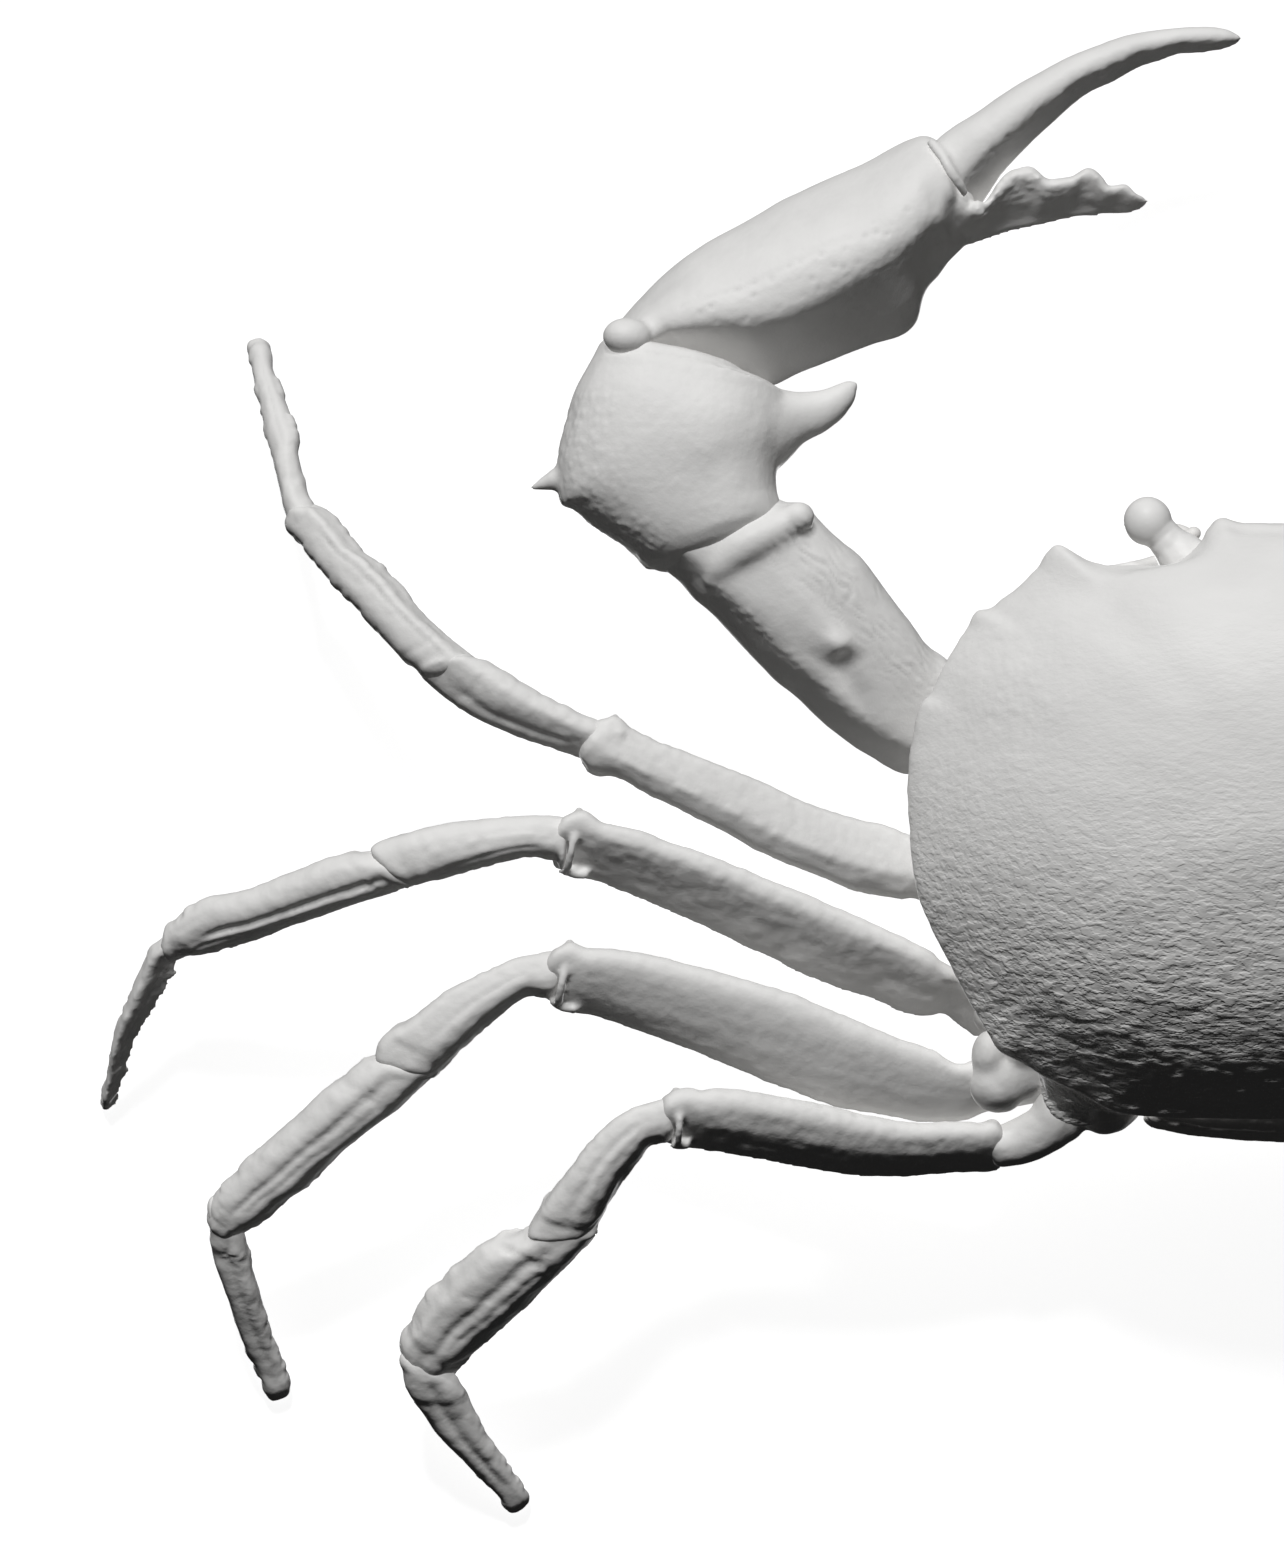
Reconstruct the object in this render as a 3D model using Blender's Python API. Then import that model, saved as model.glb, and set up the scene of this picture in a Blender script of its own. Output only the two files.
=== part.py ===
"""Carcinoplax suruguensis, a goneplacid crab, as a still life-size model.

The crab stands on the tips of its eight walking legs with both claws held in front.
+Y is forward, +X is the crab's right side and +Z is up. The origin lies on the floor
below the middle of the whole crab. Every table holds millimetres for the right side,
as (out from the midline, forward, up, ...), and the left side is its mirror image.
"""
import math

import bmesh
import bpy
from mathutils import Vector

MM = 0.001
UP = Vector((0.0, 0.0, 1.0))
SIDES = {"right": 1.0, "left": -1.0}

GAP = 0.3                 # clear space between neighbouring pieces
FLOOR = 0.0
LEG_SIDES = 10            # corners of a ring round a walking leg
CLAW_SIDES = 14
LEG_POWER = 2.3           # 2 is an ellipse, more is boxier
CLAW_POWER = 2.3
RIM = 0.35                # length of the rounded shoulder at the end of a limb piece
RIM_SCALE = 0.84

# Carapace: 30 mm across, the width that all the other sizes were scaled from
CARAPACE_TOP = 16.6
CARAPACE_CENTRE = (0.0, -1.9)
CARAPACE_BOTTOM = 7.3
# How the back falls to the edge, as (power, roundness): the front stays high, the rear slopes
DOME_FRONT = (3.1, 0.82)
DOME_SIDE = (2.4, 0.85)
DOME_REAR = (1.6, 0.90)
DOME_RINGS = (0.955, 0.87, 0.74, 0.58, 0.40, 0.20)
OUTLINE_STEPS = 2

# Right half of the carapace's edge, from the middle of the front to the middle of the back
CARAPACE_EDGE = (
    (0.0, 9.30, 12.2), (1.9, 9.35, 12.2), (3.4, 9.50, 12.05), (3.95, 9.15, 12.0),
    (4.25, 8.50, 12.0), (5.1, 7.85, 12.1), (6.3, 7.74, 12.1), (7.7, 7.76, 11.9),
    (8.7, 8.10, 11.5), (9.42, 8.55, 11.1),
    (9.75, 8.15, 11.1), (10.9, 7.00, 11.1), (11.8, 6.25, 10.9), (12.5, 6.06, 10.6),
    (12.75, 5.55, 10.7), (13.5, 4.30, 10.7), (14.1, 3.05, 10.5), (14.6, 2.62, 10.3),
    (14.72, 1.90, 10.4), (14.95, 0.30, 10.4), (15.0, -1.40, 10.4), (14.8, -3.40, 10.4),
    (14.3, -5.40, 10.3), (13.35, -7.30, 10.1), (12.2, -9.30, 9.9), (10.8, -10.70, 9.7),
    (9.0, -11.70, 9.6), (7.2, -12.35, 9.4), (5.0, -12.50, 9.4), (2.4, -12.62, 9.4),
    (0.0, -12.65, 9.4),
)
TOOTH_TIPS = (9, 13, 17)  # places in CARAPACE_EDGE of the tips of the three teeth
ORBIT = (4, 5, 6, 7, 8)   # places in CARAPACE_EDGE of the rim of the eye socket

# The wall below the edge is smooth: (share of the smooth edge, up, how much of the edge's
# rise above WALL_LEVEL it follows)
WALL_RINGS = ((0.80, CARAPACE_BOTTOM, 0.0), (0.90, 7.9, 0.0), (0.935, 8.7, 0.7))
WALL_LEVEL = 10.4

# Thorax: right half of its outline from front to back, and its height
THORAX_EDGE = (
    (0.0, 2.6), (3.9, 2.5), (6.2, 1.9), (7.6, 0.2), (8.3, -3.2), (8.1, -7.4),
    (7.3, -10.3), (6.3, -11.7), (4.4, -12.0), (0.0, -12.2),
)
THORAX_BOTTOM = 3.1
THORAX_TOP = CARAPACE_BOTTOM - GAP

# Abdomen: a strip that bends round the back and lies folded below the thorax.
# Rows of (forward, up, half width) along the middle of its thickness.
ABDOMEN_PATH = (
    (-13.00, 8.45, 5.5), (-13.10, 7.3, 6.2), (-13.10, 5.4, 6.1), (-12.95, 3.6, 5.6),
    (-12.35, 2.3, 5.0), (-10.40, 2.1, 4.4), (-6.60, 2.1, 3.3), (-2.80, 2.1, 2.3),
    (-0.40, 2.1, 1.5), (0.70, 2.1, 0.7),
)
ABDOMEN_THICKNESS = 0.8
ABDOMEN_BOW = 0.45         # how far the middle stands out past the sides

# Outer mouthparts, one plate on each side: rows of (forward, low, inner, outer)
MOUTH_PLATE = (
    (2.95, 3.9, 0.25, 2.9), (4.2, 3.8, 0.25, 3.7), (5.8, 4.6, 0.25, 3.9), (7.1, 5.6, 0.4, 3.5),
    (7.8, 6.2, 0.8, 2.6),
)
MOUTH_TOP = CARAPACE_BOTTOM - GAP

# Eye: rows along the stalk, then the cornea
EYE_STALK = (
    (5.30, 8.55, 11.05, 0.60, 0.58), (5.55, 8.82, 11.08, 0.58, 0.57), (5.90, 9.18, 11.14, 0.66, 0.64),
)
CORNEA = (6.13, 9.42, 11.2)
CORNEA_RADIUS = 0.92

# Antenna: rows from its base beside the front to the tip of the whip below the eye
ANTENNA = (
    (4.45, 9.20, 10.8, 0.28, 0.28), (4.55, 9.20, 10.2, 0.36, 0.36), (5.05, 9.05, 9.75, 0.32, 0.32),
    (6.00, 8.95, 9.6, 0.26, 0.26), (7.10, 8.90, 9.6, 0.25, 0.25),
)

# Walking legs: the rows of each piece run from joint to joint as
# (out, forward, up, half width, half height), and a joint's point ends one piece and
# starts the next
LEG_PIECES = ("coxa", "merus", "carpus", "propodus", "dactylus")
LEGS = {
    "leg_1": (
        ((8.65, -4.9, 5.2, 1.35, 1.35), (10.2, -4.85, 5.6, 1.25, 1.25), (11.9, -4.6, 6.0, 1.0, 0.95)),
        ((11.9, -4.6, 6.0, 1.0, 1.0), (14.9, -3.55, 6.6, 1.2, 1.1), (16.8, -3.04, 6.95, 1.31, 1.15),
         (20.6, -1.51, 7.6, 1.17, 1.05), (24.4, 0.20, 8.15, 1.0, 0.95), (26.5, 1.18, 8.3, 1.12, 1.0)),
        ((26.5, 1.18, 8.3, 0.78, 0.78), (28.5, 1.92, 8.35, 0.88, 0.85), (30.4, 2.86, 8.2, 1.0, 0.95),
         (32.2, 3.85, 7.8, 1.02, 0.95)),
        ((32.2, 3.85, 7.8, 0.9, 0.85), (33.6, 5.3, 7.3, 0.91, 0.85), (35.3, 7.2, 6.4, 0.91, 0.8),
         (37.75, 9.75, 4.9, 0.78, 0.7)),
        ((37.75, 9.75, 4.9, 0.56, 0.56), (38.35, 11.9, 3.75, 0.47, 0.45), (38.65, 13.4, 2.6, 0.57, 0.46),
         (39.1, 15.0, 1.3, 0.46, 0.42), (39.48, 16.5, 0.0, 0.36, 0.34)),
    ),
    "leg_2": (
        ((8.4, -7.75, 5.2, 1.25, 1.35), (10.3, -8.4, 5.5, 1.2, 1.25), (12.2, -8.8, 6.0, 1.05, 0.95)),
        ((12.2, -8.8, 6.0, 1.05, 1.0), (14.2, -7.99, 6.5, 1.28, 1.1), (17.0, -6.75, 7.05, 1.36, 1.15),
         (20.8, -5.09, 7.65, 1.32, 1.1), (25.3, -3.27, 8.1, 1.18, 1.05), (27.75, -2.42, 8.2, 1.2, 1.0)),
        ((27.75, -2.42, 8.2, 0.78, 0.78), (29.9, -2.40, 8.25, 0.83, 0.82), (32.1, -2.81, 8.05, 0.99, 0.95),
         (34.2, -3.5, 7.6, 1.0, 0.95)),
        ((34.2, -3.5, 7.6, 0.97, 0.85), (36.2, -4.1, 7.05, 1.03, 0.85), (39.6, -5.25, 5.8, 1.02, 0.8),
         (42.55, -6.4, 4.4, 0.8, 0.7)),
        ((42.55, -6.4, 4.4, 0.58, 0.56), (43.6, -8.4, 3.4, 0.53, 0.48), (44.45, -10.3, 2.2, 0.40, 0.42),
         (44.8, -11.5, 1.2, 0.36, 0.38), (45.08, -12.75, 0.0, 0.34, 0.32)),
    ),
    "leg_3": (
        ((7.7, -10.6, 5.2, 1.05, 1.3), (9.9, -11.0, 5.7, 1.2, 1.25), (12.2, -11.6, 6.4, 1.15, 1.0)),
        ((12.2, -11.6, 6.4, 1.15, 1.0), (14.4, -11.5, 6.7, 1.34, 1.1), (17.7, -10.67, 7.1, 1.65, 1.2),
         (20.6, -9.55, 7.4, 1.66, 1.25), (25.3, -8.03, 7.7, 1.4, 1.15), (28.15, -7.35, 7.75, 1.25, 1.05)),
        ((28.15, -7.35, 7.75, 0.76, 0.76), (30.2, -8.0, 7.7, 0.84, 0.84), (32.1, -9.34, 7.4, 1.08, 1.0),
         (33.95, -10.95, 6.9, 1.12, 1.0)),
        ((33.95, -10.95, 6.9, 1.12, 0.9), (35.7, -12.4, 6.4, 1.19, 0.95), (38.3, -14.74, 5.4, 1.19, 0.9),
         (40.55, -16.85, 4.2, 0.85, 0.75)),
        ((40.55, -16.85, 4.2, 0.68, 0.6), (40.05, -19.1, 3.0, 0.61, 0.5), (39.4, -21.2, 1.65, 0.56, 0.46),
         (38.9, -22.4, 0.85, 0.52, 0.42), (38.55, -23.5, 0.0, 0.42, 0.36)),
    ),
    "leg_4": (
        ((6.9, -12.85, 5.4, 0.8, 1.15), (9.2, -13.4, 5.6, 0.85, 1.1), (11.6, -13.95, 6.1, 0.9, 0.95)),
        ((11.6, -13.95, 6.1, 0.9, 0.95), (14.1, -14.02, 6.4, 0.94, 0.95), (17.0, -13.85, 6.9, 1.12, 1.0),
         (20.8, -13.15, 7.6, 1.2, 1.0), (23.95, -12.85, 7.9, 1.1, 0.95)),
        ((23.95, -12.85, 7.9, 0.74, 0.74), (25.7, -13.8, 7.85, 0.92, 0.88), (26.9, -15.4, 7.45, 1.05, 0.95),
         (28.0, -17.2, 6.7, 1.13, 0.95)),
        ((28.0, -17.2, 6.7, 1.05, 0.85), (29.3, -18.3, 6.1, 1.36, 0.9), (30.95, -19.65, 5.2, 1.55, 0.9),
         (33.15, -22.05, 3.6, 1.05, 0.75)),
        ((33.15, -22.05, 3.6, 0.95, 0.6), (32.3, -23.7, 2.9, 0.88, 0.5), (31.1, -25.4, 1.85, 0.68, 0.45),
         (30.1, -26.7, 0.95, 0.54, 0.42), (29.48, -27.75, 0.0, 0.42, 0.36)),
    ),
}

# Claws: a row adds the way the ring faces, in degrees from forward, out being positive
CLAW_COXA = (
    (7.9, 0.75, 5.1, 1.6, 1.55, 75), (9.9, 0.05, 5.1, 1.7, 1.6, 80), (11.6, -0.55, 5.2, 1.6, 1.55, 70),
)
CLAW_MERUS = (
    (11.85, -0.45, 5.25, 1.75, 1.65, 70), (13.9, 1.35, 5.7, 2.2, 1.8, 48), (16.2, 3.5, 6.7, 2.45, 2.1, 45),
    (18.1, 5.5, 7.3, 2.7, 2.3, 45), (20.1, 7.35, 7.8, 2.7, 2.4, 42), (22.4, 9.25, 8.1, 3.0, 2.4, 19),
)
CLAW_CARPUS = (
    (22.5, 9.55, 8.1, 2.9, 2.2, 19), (23.8, 10.55, 8.0, 4.2, 2.6, 6), (23.7, 12.1, 7.9, 4.25, 2.9, -4),
    (23.4, 13.8, 7.6, 4.05, 2.8, -8), (23.1, 15.15, 7.3, 3.75, 2.2, -14),
)
CLAW_PALM = (
    (25.15, 16.0, 7.2, 1.15, 1.3, -14), (24.45, 16.5, 7.1, 1.42, 1.7, -25), (23.3, 16.55, 7.0, 2.15, 2.1, -38),
    (21.8, 16.95, 6.9, 2.82, 2.4, -53), (19.55, 18.05, 6.7, 3.0, 2.6, -64), (17.3, 19.1, 6.5, 3.2, 2.65, -67),
    (15.4, 20.0, 6.4, 3.12, 2.5, -72), (14.25, 21.1, 6.3, 2.65, 2.2, -77), (13.42, 21.75, 6.3, 2.1, 1.7, -73),
)
FIXED_FINGER = (
    (14.9, 20.0, 6.2, 0.8, 0.9, -74), (13.2, 20.25, 6.2, 0.62, 1.0, -76), (12.3, 20.32, 6.1, 0.5, 0.95, -70),
    (11.45, 20.72, 6.1, 0.68, 0.9, -72), (9.9, 21.2, 6.0, 0.74, 0.8, -84), (8.2, 21.45, 5.9, 0.62, 0.65, -90),
    (7.1, 21.42, 5.85, 0.46, 0.5, -92), (6.15, 21.32, 5.8, 0.2, 0.26, -92),
)
MOVING_FINGER = (
    (13.12, 22.42, 6.3, 1.36, 1.3, -73), (11.7, 23.85, 6.3, 1.16, 1.15, -48), (10.1, 25.09, 6.2, 0.97, 1.0, -52),
    (8.45, 26.19, 6.1, 0.79, 0.85, -58), (6.6, 26.99, 6.0, 0.65, 0.7, -68), (4.7, 27.42, 5.9, 0.51, 0.55, -82),
    (3.4, 27.5, 5.85, 0.42, 0.42, -90), (2.6, 27.47, 5.8, 0.24, 0.24, -96),
)
CARPUS_INNER_SPINE = (
    (20.9, 12.4, 7.7, 1.7, 1.6, -62), (18.9, 13.3, 7.7, 1.10, 0.95, -62), (17.6, 13.95, 7.7, 0.66, 0.5, -64),
    (16.95, 14.25, 7.7, 0.34, 0.24, -66),
)
CARPUS_OUTER_SPINE = (
    (27.0, 11.2, 7.9, 0.85, 0.9, 100), (28.2, 10.95, 7.9, 0.42, 0.45, 105), (29.05, 10.68, 7.9, 0.12, 0.12, 105),
)
# Teeth on the biting edges: (out, forward, up, way it points, half base, height)
FIXED_TEETH = (
    (10.55, 21.85, 6.05, 5, 0.78, 0.95), (8.25, 21.95, 5.95, 5, 0.58, 0.72), (6.95, 21.75, 5.85, 5, 0.28, 0.36),
)
MOVING_TEETH = (
    (10.5, 24.2, 6.2, 140, 0.42, 0.55), (9.0, 25.4, 6.1, 150, 0.36, 0.45), (7.4, 26.3, 6.0, 160, 0.30, 0.36),
)
TOOTH_SINK = 0.55         # how deep a tooth's root is sunk
TOOTH_SIDES = 8

# Knob at the end of a merus, where the next piece hinges: (share back from the end, radius)
KNOB_BACK = 0.78
KNOB_RADIUS = 0.56
KNOB_LIFT = 0.62          # share of the half height

SHELL_COLOUR = (0.72, 0.70, 0.66, 1.0)
UNDERSIDE_COLOUR = (0.78, 0.76, 0.72, 1.0)
CORNEA_COLOUR = (0.30, 0.28, 0.26, 1.0)


def material(name, colour, roughness):
    """A plain Principled surface with one colour and roughness."""
    mat = bpy.data.materials.new(name)
    mat.use_nodes = True
    shader = mat.node_tree.nodes["Principled BSDF"]
    shader.inputs["Base Color"].default_value = colour
    shader.inputs["Roughness"].default_value = roughness
    shader.inputs["Metallic"].default_value = 0.0
    return mat


def add_object(name, bm, mat, side=1.0):
    """Turn a mesh in millimetres into an object in metres, mirrored for the left side."""
    for vert in bm.verts:
        vert.co = Vector((vert.co.x * side, vert.co.y, vert.co.z)) * MM
    bmesh.ops.recalc_face_normals(bm, faces=bm.faces)
    if bm.calc_volume(signed=True) < 0:
        bmesh.ops.reverse_faces(bm, faces=bm.faces)
    mesh = bpy.data.meshes.new(name)
    bm.to_mesh(mesh)
    bm.free()
    mesh.materials.append(mat)
    obj = bpy.data.objects.new(name, mesh)
    CRAB.objects.link(obj)
    mesh.shade_smooth()
    mesh.set_sharp_from_angle(angle=math.radians(40))
    return obj


def blend(a, b, c, d, t):
    """Catmull-Rom value between b and c."""
    return 0.5 * (2 * b + (c - a) * t + (2 * a - 5 * b + 4 * c - d) * t * t
                  + (3 * b - a - 3 * c + d) * t * t * t)


def smooth_rows(rows, steps):
    """Rows on a smooth curve through the given ones, with `steps` to each span."""
    last = len(rows) - 1
    result = []
    for i in range(last):
        four = [rows[max(i - 1, 0)], rows[i], rows[i + 1], rows[min(i + 2, last)]]
        for k in range(steps):
            result.append(tuple(blend(*values, k / steps) for values in zip(*four)))
    result.append(tuple(rows[-1]))
    return result


def ring(centre, along, half_width, half_height, sides, power):
    """Corners of a rounded cross-section at right angles to `along`."""
    across = along.cross(UP).normalized()
    lift = across.cross(along).normalized()
    corners = []
    for i in range(sides):
        angle = 2 * math.pi * i / sides
        u = math.copysign(abs(math.cos(angle)) ** (2 / power), math.cos(angle))
        v = math.copysign(abs(math.sin(angle)) ** (2 / power), math.sin(angle))
        corners.append(centre + across * (half_width * u) + lift * (half_height * v))
    return corners


def loft(rings):
    """A closed mesh through rings that all have the same number of corners."""
    bm = bmesh.new()
    loops = [[bm.verts.new(p) for p in corners] for corners in rings]
    count = len(loops[0])
    for low, high in zip(loops, loops[1:]):
        for i in range(count):
            j = (i + 1) % count
            bm.faces.new((low[i], low[j], high[j], high[i]))
    bm.faces.new(loops[0])
    bm.faces.new(loops[-1])
    return bm


def shouldered(rows, steps):
    """Smooth rows with a short rounded shoulder added at each end."""
    smooth = smooth_rows(rows, steps)
    for end, near in ((0, 1), (-1, -2)):
        first = Vector(smooth[end][:3])
        second = Vector(smooth[near][:3])
        share = RIM / (second - first).length
        shoulder = [a + (b - a) * share for a, b in zip(smooth[end], smooth[near])]
        tip = list(smooth[end])
        tip[3] *= RIM_SCALE
        tip[4] *= RIM_SCALE
        if end == 0:
            smooth[0:1] = [tuple(tip), tuple(shoulder)]
        else:
            smooth[-1:] = [tuple(shoulder), tuple(tip)]
    return smooth


def direction(start, end):
    return (Vector(end[:3]) - Vector(start[:3])).normalized()


def leg_rings(rows, facing_start, facing_end, steps):
    """Rings of a leg piece. The end rings face along the joints, half a gap short of them."""
    smooth = shouldered(rows, steps)
    points = [Vector(row[:3]) for row in smooth]
    facings = []
    for i in range(len(points)):
        before = points[max(i - 1, 0)]
        after = points[min(i + 1, len(points) - 1)]
        facings.append((after - before).normalized())
    for i, share in ((0, 1.0), (1, 0.7)):
        facings[i] = facings[i].lerp(facing_start, share).normalized()
        facings[-1 - i] = facings[-1 - i].lerp(facing_end, share).normalized()
    for i in (0, 1):
        points[i] = points[i] + facing_start * (GAP / 2)
        points[-1 - i] = points[-1 - i] - facing_end * (GAP / 2)
    return [ring(p, f, row[3], row[4], LEG_SIDES, LEG_POWER)
            for p, f, row in zip(points, facings, smooth)]


def facing(degrees):
    """Level direction of a claw's ring."""
    angle = math.radians(degrees)
    return Vector((math.sin(angle), math.cos(angle), 0.0))


def claw_rings(rows, steps, sides=CLAW_SIDES, ends=True):
    """Rings of a claw piece, each facing the way that its row says."""
    smooth = shouldered(rows, steps) if ends else smooth_rows(rows, steps)
    return [ring(Vector(row[:3]), facing(row[5]), row[3], row[4], sides, CLAW_POWER)
            for row in smooth]


def cone(base, along, half_base, height, sides):
    """A blunt tooth whose root lies TOOTH_SINK behind its base."""
    rings = []
    for share, scale in ((-TOOTH_SINK / height, 1.05), (0.0, 1.0), (0.55, 0.72), (0.9, 0.36)):
        rings.append(ring(base + along * (height * share), along, half_base * scale,
                          half_base * scale, sides, 2.0))
    return loft(rings)


def ball(centre, radius, segments=12, rows=8):
    bm = bmesh.new()
    bmesh.ops.create_uvsphere(bm, u_segments=segments, v_segments=rows, radius=radius)
    bmesh.ops.translate(bm, verts=bm.verts, vec=Vector(centre))
    return bm


def keep_largest(mesh):
    """Keep only the largest closed surface of a mesh."""
    bm = bmesh.new()
    bm.from_mesh(mesh)
    bmesh.ops.remove_doubles(bm, verts=bm.verts, dist=0.001 * MM)
    unseen = set(bm.verts)
    groups = []
    while unseen:
        stack = [unseen.pop()]
        group = set(stack)
        while stack:
            for edge in stack.pop().link_edges:
                for vert in edge.verts:
                    if vert in unseen:
                        unseen.discard(vert)
                        group.add(vert)
                        stack.append(vert)
        groups.append(group)
    largest = max(groups, key=len)
    bmesh.ops.delete(bm, geom=[v for v in bm.verts if v not in largest], context="VERTS")
    bm.to_mesh(mesh)
    bm.free()


def fuse(obj, pieces):
    """Union closed mesh objects into `obj` and remove them."""
    tools = bpy.data.collections.new("pieces of " + obj.name)
    bpy.context.scene.collection.children.link(tools)
    for piece in pieces:
        CRAB.objects.unlink(piece)
        tools.objects.link(piece)
    cut = obj.modifiers.new("union", "BOOLEAN")
    cut.operation = "UNION"
    cut.operand_type = "COLLECTION"
    cut.solver = "EXACT"
    cut.collection = tools
    depsgraph = bpy.context.evaluated_depsgraph_get()
    mesh = bpy.data.meshes.new_from_object(obj.evaluated_get(depsgraph))
    obj.modifiers.remove(cut)
    obj.data = mesh
    keep_largest(mesh)
    mesh.set_sharp_from_angle(angle=math.radians(40))
    for piece in pieces:
        bpy.data.objects.remove(piece, do_unlink=True)
    bpy.data.collections.remove(tools)


def flatten_foot(bm):
    """Cut off what lies below the floor and close the cut with a flat face."""
    geom = list(bm.verts) + list(bm.edges) + list(bm.faces)
    cut = bmesh.ops.bisect_plane(bm, geom=geom, dist=0.0001, plane_co=(0, 0, FLOOR),
                                 plane_no=(0, 0, -1), clear_outer=True)
    edges = [item for item in cut["geom_cut"] if isinstance(item, bmesh.types.BMEdge)]
    bmesh.ops.contextual_create(bm, geom=edges)


def carapace_outline():
    """The whole edge as (x, y, z) round the crab, and the same edge without its notches."""
    smooth_half = [row for i, row in enumerate(CARAPACE_EDGE) if i not in TOOTH_TIPS + ORBIT]
    detailed = smooth_rows(CARAPACE_EDGE, OUTLINE_STEPS)
    plain = smooth_rows(smooth_half, 8)
    centre = Vector(CARAPACE_CENTRE)
    matched = []
    for row in detailed:
        angle = math.atan2(row[0], row[1] - centre.y)
        near = min(plain, key=lambda p: abs(math.atan2(p[0], p[1] - centre.y) - angle))
        reach = math.hypot(near[0], near[1] - centre.y)
        matched.append((reach * math.sin(angle), centre.y + reach * math.cos(angle), row[2]))
    return whole(detailed), whole(matched)


def whole(half):
    """The right half of an outline and its mirror image, in one ring."""
    return list(half) + [(-row[0],) + tuple(row[1:]) for row in reversed(half[1:-1])]


def scaled(row, centre, share):
    return (centre[0] + (row[0] - centre[0]) * share, centre[1] + (row[1] - centre[1]) * share)


def dome_height(row, share):
    """Height of the back at a share of the way from the middle to a point of the edge."""
    ahead = row[1] - CARAPACE_CENTRE[1]
    weight = ahead * ahead / (row[0] * row[0] + ahead * ahead)
    end = DOME_FRONT if ahead > 0 else DOME_REAR
    power, roundness = (a + (b - a) * weight for a, b in zip(DOME_SIDE, end))
    return row[2] + (CARAPACE_TOP - row[2]) * (1 - share ** power) ** roundness


def make_carapace(mat):
    """The shell: a smooth wall below, the toothed edge, then the dome of the back."""
    edge, plain = carapace_outline()
    rings = []
    for share, up, follow in WALL_RINGS:
        rings.append([Vector((*scaled(row, CARAPACE_CENTRE, share),
                              up + follow * max(0.0, row[2] - WALL_LEVEL))) for row in plain])
    rings.append([Vector((*scaled(row, CARAPACE_CENTRE, 0.985), row[2] - 0.55)) for row in edge])
    rings.append([Vector(row[:3]) for row in edge])
    for share in DOME_RINGS:
        notch = max(0.0, 1 - (1 - share) / 0.12)
        corners = []
        for row, smooth in zip(edge, plain):
            x, y = scaled(row, CARAPACE_CENTRE, share)
            sx, sy = scaled(smooth, CARAPACE_CENTRE, share)
            corners.append(Vector((sx + (x - sx) * notch, sy + (y - sy) * notch,
                                   dome_height(row, share))))
        rings.append(corners)
    return add_object("carapace", loft(rings), mat)


def make_thorax(mat):
    """The block between the legs, with a bevelled lower edge."""
    outline = whole(THORAX_EDGE)
    centre = (0.0, -5.0)
    levels = ((0.90, THORAX_BOTTOM), (1.0, THORAX_BOTTOM + 0.7), (1.0, THORAX_TOP))
    rings = [[Vector((*scaled(row, centre, share), up)) for row in outline]
             for share, up in levels]
    return add_object("thorax", loft(rings), mat)


def make_abdomen(mat):
    """The folded tail, a flat strip of rounded section."""
    rows = smooth_rows(ABDOMEN_PATH, 2)
    rings = []
    for i, (fore, up, half) in enumerate(rows):
        before = rows[max(i - 1, 0)]
        after = rows[min(i + 1, len(rows) - 1)]
        along = Vector((0, after[0] - before[0], after[1] - before[1])).normalized()
        inward = Vector((0, -along.z, along.y))
        thick = ABDOMEN_THICKNESS / 2
        middle = Vector((0, fore, up))
        corners = []
        for u, v in ((-1, 0), (-0.9, 0.8), (-0.4, 1), (0.4, 1), (0.9, 0.8), (1, 0),
                     (0.9, -0.8), (0.4, -1), (-0.4, -1), (-0.9, -0.8)):
            bow = ABDOMEN_BOW * (0.5 - u * u)
            corners.append(middle + Vector((half * u, 0, 0)) + inward * (thick * v - bow))
        rings.append(corners)
    return add_object("abdomen", loft(rings), mat)


def make_mouth_plate(name, mat, side):
    """Outer mouthpart, a thick plate below the front of the shell."""
    rings = []
    for fore, low, inner, outer in MOUTH_PLATE:
        bevel = 0.35
        rings.append([
            Vector((inner, fore, low + bevel)), Vector((inner + bevel, fore, low)),
            Vector((outer - bevel, fore, low + 0.1)), Vector((outer, fore, low + bevel + 0.1)),
            Vector((outer, fore, MOUTH_TOP)), Vector((inner, fore, MOUTH_TOP)),
        ])
    return add_object(name, loft(rings), mat, side)


def make_eye(name, mat, side):
    """Stalk and cornea."""
    facing_all = direction(EYE_STALK[0], EYE_STALK[-1])
    rings = [ring(Vector(row[:3]), facing_all, row[3], row[4], LEG_SIDES, 2.0)
             for row in EYE_STALK]
    eye = add_object(name, loft(rings), mat, side)
    fuse(eye, [add_object(name + " cornea", ball(CORNEA, CORNEA_RADIUS), mat, side)])
    return eye


def make_antenna(name, mat, side):
    rows = smooth_rows(ANTENNA, 2)
    rings = []
    for i, row in enumerate(rows):
        along = direction(rows[max(i - 1, 0)], rows[min(i + 1, len(rows) - 1)])
        rings.append(ring(Vector(row[:3]), along, row[3], row[4], 8, 2.0))
    return add_object(name, loft(rings), mat, side)


def merus_knob(name, rows, mat, side):
    """The rounded hinge knob on top of a merus, at its far end."""
    end = Vector(rows[-1][:3])
    back = direction(rows[-1], rows[-2])
    centre = end + back * KNOB_BACK + UP * (rows[-1][4] * KNOB_LIFT)
    return add_object(name, ball(centre, KNOB_RADIUS, 8, 6), mat, side)


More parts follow.
